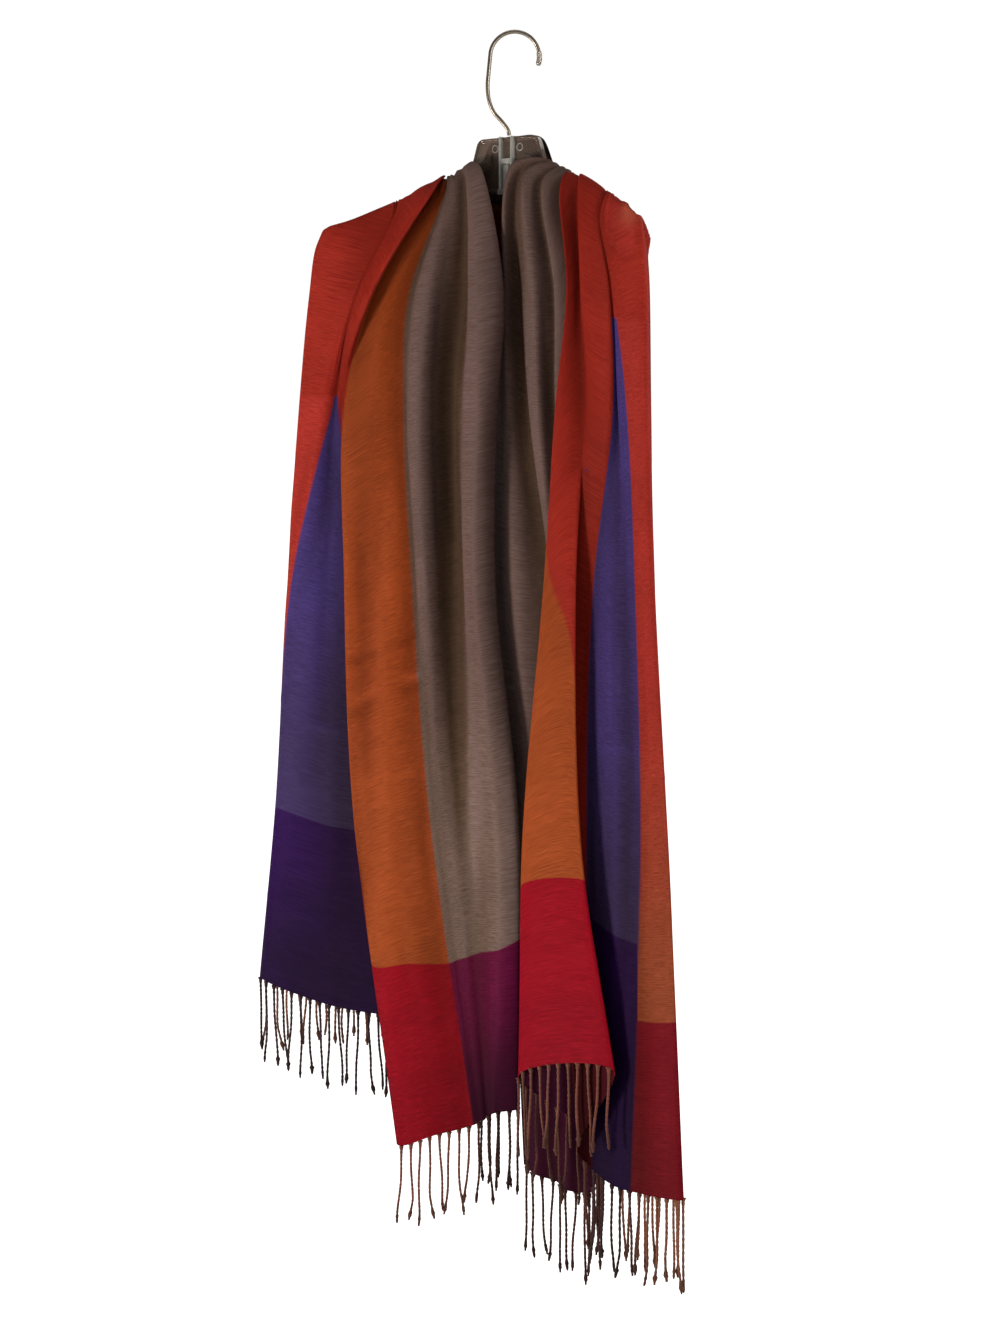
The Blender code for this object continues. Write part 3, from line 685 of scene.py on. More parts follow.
def new_material(name, **values):
    """A material with its Principled shader and those of its sockets that are the same all over."""
    material = bpy.data.materials.new(name)
    material.use_nodes = True
    shader = material.node_tree.nodes["Principled BSDF"]
    for key, value in values.items():
        shader.inputs[key.replace("_", " ")].default_value = value
    return material, material.node_tree, shader


def fill_ramp(ramp, stops):
    """Gives a colour ramp its stops, each a place along it and a linear colour."""
    for number, (at, colour) in enumerate(stops):
        stop = ramp.elements[number] if number < 2 else ramp.elements.new(at)
        stop.position = at
        stop.color = (*colour, 1)


# Where one stripe of the cloth ends and the next begins, and half the soft step between them
STRIPE_EDGES = (200.0, 280.0, 380.0, 500.0)
STRIPE_STEP = 0.8
# Above these drops at the left and right the blue stripe is closed inside the pleat
TUCKED_ABOVE = (262.0, 192.0)
# How far across the cloth that closed pleat reaches
TUCKED_TO = 560.0
# Depth of the outer stripe's own end band at the left and right hem
OUTER_BANDS = (192.0, 174.0)
# The taupe, orange and blue weft again as painted higher up, above the hips: taupe and orange darker as
# painted shade, blue brighter as painted light
HIGH_WEFT_PAINTED_LIGHT = ("67544b", "93421a", "43366e")
# The darker warp that shows between the weft, for the same stripes, and under the end bands
WARP = ("40301e", "602a10", "600f0a", "261a34", "66140e")
END_WARP = ("3a081a", "5c0410", "40080e", "180a2c", "48080e")
# The end bands' weft again, as it is drawn towards the hem: the purple and magenta are made darker there
HEM_WEFT = ("300a20", "860818", "3c0a12", "1e082c", "640c14")
# Yarns that come in at one place: the outer stripe's orange-brown ends; and the pale pink of a painted
# highlight on the right shoulder
SHADES = {
    "tucked_warp": WARP[2],
    "late_weft": "8c4a2a",
    "late_warp": "50220e",
    "shoulder_highlight_colour": "cc8464",
}
# Painted light: the colour is made paler and cooler along the crests of the folds as a painted
# highlight, and browner in between them as painted shade
HOLLOW_PAINTED_SHADE = (0.6, 0.53, 0.44, 1)
CREST_PAINTED_HIGHLIGHT = (1.28, 1.26, 1.5, 1)


def stripe_stops(colours):
    """Ramp stops for the stripes side by side."""
    stops = [(0.0, colours[0])]
    for edge, before, after in zip(STRIPE_EDGES, colours, colours[1:]):
        stops.append(((edge - STRIPE_STEP) / ACROSS, before))
        stops.append(((edge + STRIPE_STEP) / ACROSS, after))
    return stops


def cloth_material():
    """Handloomed cotton and rayon: a streaky weft over a darker warp, ribbed, with little gloss. Painted
    highlight on fold crests, painted shade in their hollows, painted light and shade by height, and a
    painted highlight on the right shoulder.
    """
    look = bpy.context.scene.rebozo_cloth
    material, tree, shader = new_material(
        "handloom rayon cloth",
        Specular_IOR_Level=0.04,
        Sheen_Weight=0.005,
        Sheen_Roughness=0.4,
        Sheen_Tint=(*linear("cfc2d6"), 1),
    )
    flat = add_node(tree, "ShaderNodeUVMap", {"uv_map": "Cloth"}).outputs["UV"]
    metres = add_node(tree, "ShaderNodeSeparateXYZ", inputs={"Vector": flat}).outputs["X"]
    across = add_node(
        tree, "ShaderNodeMath", {"operation": "MULTIPLY"}, {0: metres, 1: 1 / (WIDTH * MM)}
    ).outputs["Value"]

    # Everything that the layers are mixed from, by name: sockets and plain colours
    got = {key: (*linear(colour), 1) for key, colour in SHADES.items()}
    got |= {"tucked_weft": (*look.red, 1), "hollow_painted_shade": HOLLOW_PAINTED_SHADE, "crest_painted_highlight": CREST_PAINTED_HIGHLIGHT}
    # Streaks: length along the weft and width in metres, detail, roughness. Slubs and single
    # threads of the weft, broad shades of its dye 50 mm deep, and warp ends 3 mm apart
    streaks = {
        "slub": (look.slub_length, look.slub_pitch, 3.0, 0.55),
        "thread": (look.slub_length * 0.3, look.thread_pitch, 1.0, 0.5),
        "dye": (0.16, 0.05, 2.0, 0.5),
        "warp_ends": (0.003, 0.5, 2.0, 0.5),
    }
    for key, (long, wide, detail, rough) in streaks.items():
        drawn_out = add_node(
            tree, "ShaderNodeMapping", None, {"Scale": (1 / long, 1 / wide, 1.0), "Vector": flat}
        ).outputs["Vector"]
        got[key] = add_node(
            tree,
            "ShaderNodeTexNoise",
            {"noise_dimensions": "2D"},
            {"Scale": 1.0, "Detail": detail, "Roughness": rough, "Vector": drawn_out},
        ).outputs["Fac"]
    # Ribs of the weft, one to a thread
    got["ribs"] = add_node(
        tree,
        "ShaderNodeTexWave",
        {"bands_direction": "Y"},
        {"Scale": math.pi / (10 * look.thread_pitch), "Distortion": 0.6, "Detail": 1.0, "Vector": flat},
    ).outputs["Fac"]
    # Painted light and shade by height: the weft's colours higher up
    deep = [linear(colour) for colour in HIGH_WEFT_PAINTED_LIGHT]
    ramps = {
        "weft": (look.taupe, look.orange, look.red, look.blue, look.outer_red),
        "high_weft_painted_light": (deep[0], deep[1], look.red, deep[2], look.outer_red),
        "end_weft": (look.magenta, look.crimson, look.dark_red, look.purple, look.dark_red),
        "hem_weft": [linear(colour) for colour in HEM_WEFT],
        "warp": [linear(colour) for colour in WARP],
        "end_warp": [linear(colour) for colour in END_WARP],
    }
    for key, colours in ramps.items():
        ramp = add_node(tree, "ShaderNodeValToRGB", inputs={"Fac": across})
        fill_ramp(ramp.color_ramp, stripe_stops(colours))
        got[key] = ramp.outputs["Color"]
    for key in ("deep", "closed", "fade", "above_band", "shoulder_highlight", "painted_fold_light"):
        painted = add_node(tree, "ShaderNodeAttribute", {"attribute_name": key})
        got[key] = painted.outputs["Fac"]
    # Shares read from these: name, source, its two ends, what they become, and how
    ranges = (
        ("cover", "slub", 0.3, 0.7, 0.5, 0.97, "LINEAR"),
        ("roughness", "slub", 0.3, 0.7, 0.64, 0.46, "LINEAR"),
        ("thread", "thread", 0.3, 0.7, 0.86, 1.13, "LINEAR"),
        ("dye", "dye", 0.3, 0.7, 0.94, 1.06, "LINEAR"),
        ("near_hem", "above_band", -0.03, -0.17, 0.0, 1.0, "SMOOTHSTEP"),
        ("in_band", "above_band", -0.0009, 0.0009, 1.0, 0.0, "LINEAR"),
    )
    for key, source, low, high, first, second, way in ranges:
        got[key] = add_node(
            tree,
            "ShaderNodeMapRange",
            {"interpolation_type": way},
            {"Value": got[source], "From Min": low, "From Max": high, "To Min": first, "To Max": second},
        ).outputs["Result"]
    lightness = add_node(
        tree, "ShaderNodeMath", {"operation": "MULTIPLY"}, {0: got["thread"], 1: got["dye"]}
    ).outputs["Value"]
    grey = add_node(tree, "ShaderNodeCombineColor", inputs={0: lightness, 1: lightness, 2: lightness})
    got["lightness"] = grey.outputs["Color"]
    # Layers in order: what is made, the share of the second, the first, the second, and how
    layers = (
        # Painted light and shade by height on the taupe, orange and blue weft
        ("weft", "deep", "weft", "high_weft_painted_light", "MIX"),
        ("weft", "closed", "weft", "tucked_weft", "MIX"),
        ("warp", "closed", "warp", "tucked_warp", "MIX"),
        ("weft", "fade", "weft", "late_weft", "MIX"),
        ("warp", "fade", "warp", "late_warp", "MIX"),
        ("body", "cover", "warp", "weft", "MIX"),
        ("end_weft", "near_hem", "end_weft", "hem_weft", "MIX"),
        ("end_band", "cover", "end_warp", "end_weft", "MIX"),
        ("colour", "in_band", "body", "end_band", "MIX"),
        ("colour", 1.0, "colour", "lightness", "MULTIPLY"),
        # Painted highlight on the fold crests and painted shade in the hollows
        ("fold_light_tint", "painted_fold_light", "hollow_painted_shade", "crest_painted_highlight", "MIX"),
        ("colour", 1.0, "colour", "fold_light_tint", "MULTIPLY"),
        # Painted highlight on the right shoulder
        ("colour", "shoulder_highlight", "colour", "shoulder_highlight_colour", "MIX"),
        ("relief", 0.35, "slub", "ribs", "MIX"),
        ("relief", 0.2, "relief", "warp_ends", "MIX"),
    )
    for key, share, first, second, way in layers:
        got[key] = add_node(
            tree,
            "ShaderNodeMix",
            {"data_type": "RGBA", "blend_type": way},
            {0: got.get(share, share), 6: got[first], 7: got[second]},
        ).outputs[2]
    # Threads stand 0.6 mm proud at the most
    bump = add_node(
        tree, "ShaderNodeBump", None, {"Strength": 0.55, "Distance": 0.6 * MM, "Height": got["relief"]}
    )
    tree.links.new(got["colour"], shader.inputs["Base Color"])
    tree.links.new(got["roughness"], shader.inputs["Roughness"])
    tree.links.new(bump.outputs["Normal"], shader.inputs["Normal"])
    return material


# How much more the small creases paint highlight and shade into the colour than the large folds do,
# by their height, and the height of fold that gets most of the painted crest highlight
CREASE_PAINTED_LIGHT = 1.6
FOLD_PAINTED_LIGHT = 3.0
# A painted highlight on the right shoulder, near the arm's end: its out and drop, and its size each way
SHOULDER_HIGHLIGHT_OUT = 187.0
SHOULDER_HIGHLIGHT_DROP = 93.0
SHOULDER_HIGHLIGHT_WIDE = 13.0
SHOULDER_HIGHLIGHT_TALL = 12.0


def cloth_surface():
    """The whole cloth in metres, with its normals and what the material reads at each point."""
    points, across, band = whole_cloth()
    length, middle = run_from_hems(points)
    rows = np.arange(len(points))[:, None]
    front = np.minimum(rows, len(points) - 1 - rows) <= front_rows()
    high = front & (points[..., 2] < np.where(rows <= middle, *TUCKED_ABOVE))
    blue_low, blue_high = STRIPE_EDGES[2] - 1, STRIPE_EDGES[3] + 1
    tucked = high & (across > blue_low) & (across < blue_high)
    nearer = np.where(across < (blue_low + blue_high) / 2, blue_low, blue_high)
    across = np.where(tucked, nearer, across)
    closed = high & (across > STRIPE_EDGES[1]) & (across < TUCKED_TO)
    hanging = np.linalg.norm(np.gradient(points, axis=1), axis=2)
    flat = np.abs(np.gradient(across, axis=1)) * WIDTH / ACROSS
    openness = hanging / np.maximum(flat, 0.05)
    relief = crease_relief(across, length, middle, openness)
    base = np.stack(
        [CENTRE.x + points[..., 0], CENTRE.y - points[..., 1], DATUM - points[..., 2]], axis=2
    )
    base = base + outward_normals(base) * relief[..., None]
    # Painted light: points standing out of their neighbours, and the small creases on the front, are
    # painted paler as highlight; hollows are painted darker as shade
    painted_fold_light = height_over_chord(base, outward_normals(base), COLUMNS // 2)
    shown = soft_step((front_rows() - np.minimum(rows, len(points) - 1 - rows)) / 10)
    painted_fold_light += CREASE_PAINTED_LIGHT * relief * shown
    base = base * MM
    uv = np.stack([across / ACROSS * WIDTH * MM, length * MM], axis=2)
    outer = soft_step((across - STRIPE_EDGES[3]) / 1.6 + 0.5)
    outer_band = np.where(rows <= middle, *OUTER_BANDS)
    band = np.where(across > STRIPE_EDGES[3], outer_band, band)
    low = 1 - soft_step((length - 190) / 330)
    # Where the painted highlight on the right shoulder falls
    beside = (points[..., 0] - SHOULDER_HIGHLIGHT_OUT) / SHOULDER_HIGHLIGHT_WIDE
    beneath = (points[..., 2] - SHOULDER_HIGHLIGHT_DROP) / SHOULDER_HIGHLIGHT_TALL
    values = {
        "above_band": (length - band) * MM,
        "fade": outer * low * 0.85,
        "shoulder_highlight": 0.25 * np.exp(-(beside**2) - beneath**2),
        "closed": closed.astype(float),
        # deep: share of the painted light and shade by height, none near the hem
        "deep": soft_step((length - 260) / 240),
        "painted_fold_light": 0.5 + 0.5 * np.tanh(painted_fold_light / FOLD_PAINTED_LIGHT),
    }
    return base, outward_normals(base), uv, values, middle


def height_over_chord(points, normals, reach):
    """How far each point stands out of the line between the points so many columns to its sides."""
    padded = np.pad(points, ((0, 0), (reach, reach), (0, 0)), mode="edge")
    chord = (padded[:, 2 * reach :] + padded[:, : -2 * reach]) / 2
    height = ((points - chord) * normals).sum(axis=2)
    kernel = np.ones(2 * reach + 1) / (2 * reach + 1)
    wide = np.pad(height, ((0, 0), (reach, reach)), mode="edge")
    return np.array([np.convolve(row, kernel, mode="valid") for row in wide])


def front_rows():
    """Rows on one side from the hem to the line just behind the arm."""
    return sum(STEPS_FRONT) + sum(STEPS_OVER)


class REBOZO_OT_cloth(bpy.types.Operator):
    """Build the cloth as two thin shells that meet behind the neck"""

    bl_idname = "rebozo.cloth"
    bl_label = "Build cloth"

    def execute(self, context):
        look = context.scene.rebozo_cloth
        points, normals, uv, values, middle = cloth_surface()
        last = points.shape[0] - 1
        material = cloth_material()
        stretches = (
            ("left_cloth", 0, middle, (True, False, True, True), "neck_collar", "blue_cloth"),
            ("right_cloth", middle, last, (False, True, True, True), "back_swag", "orange_cloth"),
        )
        for name, first, final, rims, behind, slot in stretches:
            side = name.split("_")[0]
            rows = slice(first, final + 1)
            part = {key: value[rows] for key, value in values.items()}
            obj = shell(name, points[rows], normals[rows], uv[rows], part, rims, look.thickness)
            obj.data.materials.append(material)
            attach(obj, "root")
            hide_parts(*[f"{side}_{stretch}" for stretch in STRETCHES], behind)
        return {"FINISHED"}


def strand_sway(number, side):
    """How far a strand's end hangs aside and forward, and how long it is, as in the solids."""
    aside = 3.0 * math.sin(2.4 * number) + 1.6 * math.sin(5.1 * number)
    toward = 1 if side == "left" else -1
    if number in MEETINGS[side]:
        aside = toward * (STRAND_PITCH / 2 - 0.8)
    elif number - 1 in MEETINGS[side]:
        aside = toward * (0.8 - STRAND_PITCH / 2)
    forward = 1.2 * math.sin(3.7 * number + 1.0)
    length = STRAND_LONG + 6.0 * math.sin(1.9 * number + 0.6)
    return aside, forward, length


def strand_width(down, length, number):
    """Half width of a twisted strand at a distance below the hem, all in millimetres."""
    root = 1.6 * math.exp(-down / 3.5)
    size = 0.75 + 0.55 * math.sin(3.1 * number)
    knot = size * math.exp(-(((length - 7 - down) / 2.8) ** 2))
    tip = 0.35 if down > length - 1.0 else 0.0
    return 1.3 + root + knot - tip


def add_strand(bm, layers, root, along, out, number, side, tone):
    """One strand of two plies twisted together, knotted near its end, hung from root."""
    aside, forward, length = strand_sway(number, side)
    length += STRIP_DEEP
    loose = number not in MEETINGS[side] and number - 1 not in MEETINGS[side]
    previous = None
    for i in range(STRAND_RINGS + 1):
        share = i / STRAND_RINGS
        down = length * share
        wander = 1.5 * math.sin(0.08 * down + 1.7 * number) * share
        curl = loose * 3.4 * math.sin(4.3 * number) * max(0.0, share - 0.72) / 0.28
        centre = root + Vector((0, 0, -down * MM))
        centre += along * ((aside * share**1.5 + wander + curl) * MM)
        centre += out * (forward * share * MM)
        half = strand_width(down, length, number) * MM
        tip = soft_step((share - 0.62) / 0.3)
        turn = 1.1 * number + 2 * math.pi * down / TWIST_LONG
        ring = []
        for k in range(STRAND_SIDES):
            angle = 2 * math.pi * k / STRAND_SIDES
            ply = 1.0 + PLY_PROUD * math.cos(2 * (angle - turn))
            spoke = along * math.cos(angle) + out * math.sin(angle)
            made = bm.verts.new(centre + spoke * half * ply)
            made[layers[0]] = tone
            made[layers[1]] = tip
            ring.append(made)
        if previous:
            for k in range(STRAND_SIDES):
                nxt = (k + 1) % STRAND_SIDES
                bm.faces.new((previous[k], ring[k], ring[nxt], previous[nxt]))
        else:
            bm.faces.new(ring)
        previous = ring
    bm.faces.new(previous[::-1])


# Colour of the yarn by its place across the cloth: browns, with violet under the blue stripe
YARN_TONES = (
    (0.0, "3a2420"),
    (0.24, "44221e"),
    (0.32, "74473a"),
    (0.45, "6e382e"),
    (0.56, "2c1a22"),
    (0.7, "341e26"),
    (0.76, "80503c"),
    (1.0, "7a4836"),
)


def fringe_material():
    """Warp ends twisted by hand: brown with the band's own colour, matt and fibrous, darker tips."""
    material, tree, shader = new_material(
        "twisted warp ends",
        Roughness=0.78,
        Specular_IOR_Level=0.2,
        Sheen_Weight=0.25,
        Sheen_Roughness=0.5,
        Sheen_Tint=(*linear("d8b8a8"), 1),
    )
    tone, tip = (
        add_node(tree, "ShaderNodeAttribute", {"attribute_name": key}).outputs["Fac"]
        for key in ("tone", "tip")
    )
    yarn = add_node(tree, "ShaderNodeValToRGB", inputs={"Fac": tone})
    fill_ramp(yarn.color_ramp, [(at, linear(colour)) for at, colour in YARN_TONES])
    coords = add_node(tree, "ShaderNodeTexCoord").outputs["Object"]
    # Fibres about 1 mm long
    grain = add_node(
        tree, "ShaderNodeTexNoise", None, {"Scale": 900.0, "Detail": 2.0, "Vector": coords}
    ).outputs["Fac"]
    light = add_node(
        tree,
        "ShaderNodeMapRange",
        None,
        {"Value": grain, "From Min": 0.3, "From Max": 0.7, "To Min": 0.7, "To Max": 1.35},
    ).outputs["Result"]
    darker = add_node(
        tree, "ShaderNodeMapRange", None, {"Value": tip, "To Min": 1.0, "To Max": 0.5}
    ).outputs["Result"]
    light = add_node(
        tree, "ShaderNodeMath", {"operation": "MULTIPLY"}, {0: light, 1: darker}
    ).outputs["Value"]
    scaled = add_node(
        tree,
        "ShaderNodeVectorMath",
        {"operation": "SCALE"},
        {0: yarn.outputs["Color"], "Scale": light},
    )
    bump = add_node(
        tree, "ShaderNodeBump", None, {"Strength": 0.5, "Distance": 0.4 * MM, "Height": grain}
    )
    tree.links.new(scaled.outputs["Vector"], shader.inputs["Base Color"])
    tree.links.new(bump.outputs["Normal"], shader.inputs["Normal"])
    return material


class REBOZO_OT_fringe(bpy.types.Operator):
    """Build the twisted fringe under both hems"""

    bl_idname = "rebozo.fringe"
    bl_label = "Build fringe"

    def execute(self, context):
        points, normals, uv, _, _ = cloth_surface()
        material = fringe_material()
        for side, row in (("left", 0), ("right", -1)):
            bm = bmesh.new()
            layers = [bm.verts.layers.float.new(key) for key in ("tone", "tip")]
            hem, facing, across = points[row], normals[row], uv[row][:, 0] / (WIDTH * MM)
            number = 0
            for _, first, last in FRINGES:
                span = slice(round(first * COLUMNS), round(last * COLUMNS) + 1)
                line, front, place_across = hem[span], facing[span], across[span]
                run = np.concatenate(
                    [[0.0], np.cumsum(np.linalg.norm(np.diff(line, axis=0), axis=1))]
                )
                count = max(2, round(run[-1] / MM / STRAND_PITCH))
                for k in range(count):
                    at = run[-1] * (k + 0.5) / count
                    root = Vector([np.interp(at, run, line[:, axis]) for axis in range(3)])
                    out = Vector([np.interp(at, run, front[:, axis]) for axis in range(3)])
                    out.z = 0
                    out.normalize()
                    along = out.cross(Vector((0, 0, 1)))
                    tone = float(np.interp(at, run, place_across))
                    add_strand(bm, layers, root, along, out, number, side, tone)
                    number += 1
            bmesh.ops.recalc_face_normals(bm, faces=bm.faces)
            obj = add_mesh_object(side + "_fringe", bm, material, 180)
            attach(obj, "root")
            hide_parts(*[f"{side}_{part}_fringe" for part, _, _ in FRINGES])
        return {"FINISHED"}


def add_mesh_object(name, bm, material, smooth_angle=40):
    mesh = bpy.data.meshes.new(name)
    bm.to_mesh(mesh)
    bm.free()
    mesh.shade_smooth()
    mesh.set_sharp_from_angle(angle=math.radians(smooth_angle))
    mesh.materials.append(material)
    return link_object(name, mesh)


def add_rod(name, points, radii, material):
    """A round bar along a line of points, its radius given at each, closed at both ends."""
    curve = bpy.data.curves.new(name, "CURVE")
    curve.dimensions = "3D"
    curve.bevel_depth = 1.0
    curve.bevel_resolution = 8
    curve.use_fill_caps = True
    spline = curve.splines.new("POLY")
    spline.points.add(len(points) - 1)
    for knot, point, radius in zip(spline.points, points, radii):
        knot.co = (*point, 1.0)
        knot.radius = radius
    drawn = bpy.data.objects.new(name, curve)
    mesh = bpy.data.meshes.new_from_object(drawn)
    bpy.data.objects.remove(drawn)
    bm = bmesh.new()
    bm.from_mesh(mesh)
    bpy.data.meshes.remove(mesh)
    bmesh.ops.remove_doubles(bm, verts=bm.verts, dist=0.001 * MM)
    bmesh.ops.recalc_face_normals(bm, faces=bm.faces)
    return add_mesh_object(name, bm, material, 60)


def hook_line():
    """Points along the middle of the hook's wire, from the plate to the tip."""
    side = Vector((math.cos(HOOK_TURN), math.sin(HOOK_TURN), 0.0))
    profile = list(HOOK_KNEES)
    for degrees in range(180, HOOK_TIP, -ARCH_STEP):
        angle = math.radians(degrees)
        aside = ARCH_SIDE + ARCH_RADIUS * math.cos(angle)
        profile.append((aside, ARCH_HEIGHT + ARCH_RADIUS * math.sin(angle)))
    knots = [(aside, 0.0, height) for aside, height in profile]
    line = smooth_between(knots, [6] * (len(knots) - 1))
    lift = DATUM - PLATE_LIP
    return [(CENTRE + side * p[0] + Vector((0, 0, lift + p[2]))) * MM for p in line]


def uneven_gloss(tree, shader, scale, detail, low, high):
    """Roughness that wanders between low and high in patches of 1 / scale metres."""
    coords = add_node(tree, "ShaderNodeTexCoord").outputs["Object"]
    patches = add_node(
        tree, "ShaderNodeTexNoise", None, {"Scale": scale, "Detail": detail, "Vector": coords}
    ).outputs["Fac"]
    rough = add_node(
        tree, "ShaderNodeMapRange", None, {"Value": patches, "To Min": low, "To Max": high}
    ).outputs["Result"]
    tree.links.new(rough, shader.inputs["Roughness"])


class REBOZO_OT_hook(bpy.types.Operator):
    """Build the wire hook and the clear sleeve on its tip"""

    bl_idname = "rebozo.hook"
    bl_label = "Build hook"

    def execute(self, context):
        look = context.scene.rebozo_hanger
        # Plated wire: mirror-like, with dull patches about 3 mm across
        wire, tree, shader = new_material(
            "drawn steel wire", Metallic=1.0, Base_Color=(*look.wire, 1)
        )
        uneven_gloss(tree, shader, 320.0, 3.0, 0.22, 0.5)
        line = hook_line()
        radii = [WIRE / 2 * MM] * len(line)
        radii[-1] *= 0.75
        hook = add_rod("hook_wire", line, radii, wire)
        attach(hook, "root")
        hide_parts("wire_hook")

        # Soft vinyl: clear and shiny, slipped over the last of the wire
        sleeve, _, _ = new_material(
            "clear vinyl sleeve",
            Base_Color=(*look.plastic, 1),
            Roughness=0.12,
            IOR=1.52,
            Transmission_Weight=0.9,
        )
        last = line[-SLEEVE_KNOTS:]
        ahead = (last[-1] - last[-2]).normalized()
        spine = last + [last[-1] + ahead * 1.0 * MM, last[-1] + ahead * 1.8 * MM]
        widths = [2.2, 2.55] + [2.7] * (len(spine) - 5) + [2.55, 2.0, 0.9]
        tip = add_rod("hook_tip_sleeve", spine, [w * MM for w in widths], sleeve)
        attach(tip, "root")
        return {"FINISHED"}


def clear_plastic(name, tint, clearness):
    """Injection-moulded styrene: see-through and glossy, a little hazy from handling."""
    material, tree, shader = new_material(
        name, Base_Color=(*tint, 1), IOR=1.42, Transmission_Weight=clearness
    )
    uneven_gloss(tree, shader, 120.0, 2.0, 0.03, 0.12)
    return material


def soften_edges(obj, width, segments, degrees):
    """Rounds the edges that are sharper than an angle, to a width in millimetres."""
    bevel = obj.modifiers.new("soft edges", "BEVEL")
    bevel.width = width * MM
    bevel.segments = segments
    bevel.limit_method = "ANGLE"
    bevel.angle_limit = math.radians(degrees)


def rounded_outline(corners, radius, segments=6):
    """Corner points of a polygon with its corners rounded."""
    outline = []
    count = len(corners)
    for i, corner in enumerate(corners):
        here = Vector(corner)
        back = (Vector(corners[i - 1]) - here).normalized()
        ahead = (Vector(corners[(i + 1) % count]) - here).normalized()
        start = here + back * radius
        end = here + ahead * radius
        for k in range(segments + 1):
            t = k / segments
            outline.append(start * (1 - t) ** 2 + here * 2 * t * (1 - t) + end * t**2)
    return outline


def prism(bm, outline, front, back):
    """A slab between two depths from an outline of out and drop. Returns its two large faces."""
    near = bm.faces.new([bm.verts.new(place(p[0], front, p[1])) for p in outline])
    far = bmesh.ops.extrude_face_region(bm, geom=[near], use_keep_orig=True)["geom"]
    moved = [item for item in far if isinstance(item, bmesh.types.BMVert)]
    bmesh.ops.translate(bm, verts=moved, vec=(0, (front - back) * MM, 0))
    return [near, next(item for item in far if isinstance(item, bmesh.types.BMFace))]


def block(bm, out, fore, drop):
    """A box between two measures each way."""
    low = place(out[0], fore[1], drop[1])
    high = place(out[1], fore[0], drop[0])
    sides = Matrix.Diagonal((*(high - low), 1.0))
    bmesh.ops.create_cube(bm, size=1.0, matrix=Matrix.Translation((low + high) / 2) @ sides)


def disc_ring(bm, out, drop, fore, outer, inner, proud):
    """A low raised ring on the plate's face, spun from its section."""
    centre = place(out, fore, drop)
    section = ((outer, 0.0), (outer - 0.3, proud), (inner + 0.3, proud), (inner, 0.0))
    verts = [bm.verts.new(place(out + radius, fore + rise, drop)) for radius, rise in section]
    edges = [bm.edges.new((here, ahead)) for here, ahead in zip(verts, verts[1:] + verts[:1])]
    bmesh.ops.spin(
        bm,
        geom=verts + edges,
        cent=centre,
        axis=(0, 1, 0),
        angle=2 * math.pi,
        steps=24,
        use_merge=True,
    )


def add_arm(bm, side):
    """One arm of the hanger, its section drawn out by steps from the plate to its round end."""
    half = ARM_WIDE / 2
    foot = ARM_WIDE / 3
    section = []
    for k in range(9):
        angle = math.pi * k / 8
        section.append((half * math.cos(angle), half * (math.sin(angle) - 1)))
    for k in range(7):
        angle = math.pi * (k + 0.5) / 7
        section.append((-half * math.cos(angle), foot - ARM_TALL - foot * math.sin(angle)))
    reach = ARM_END - ARM_ROUND
    steps = [(ARM_START + (reach - ARM_START) * i / ARM_STEPS, 1.0) for i in range(1, ARM_STEPS + 1)]
    steps += [(reach + 1.0, 0.86), (ARM_END, 0.5)]
    here = place(side * ARM_START, arm_fore(ARM_START), arm_drop(ARM_START))
    face = bm.faces.new([bm.verts.new(here + Vector((0, -fore, rise)) * MM) for fore, rise in section])
    size = 1.0
    for out, slim in steps:
        made = bmesh.ops.extrude_face_region(bm, geom=[face, *face.edges])["geom"]
        face = next(item for item in made if isinstance(item, bmesh.types.BMFace))
        there = place(side * out, arm_fore(out), arm_drop(out) + (1 - slim) * ARM_TALL / 2)
        bmesh.ops.translate(bm, verts=face.verts, vec=there - here)
        about = Matrix.Translation(-there)
        bmesh.ops.scale(bm, verts=face.verts, vec=[slim / size] * 3, space=about)
        here = there
        size = slim


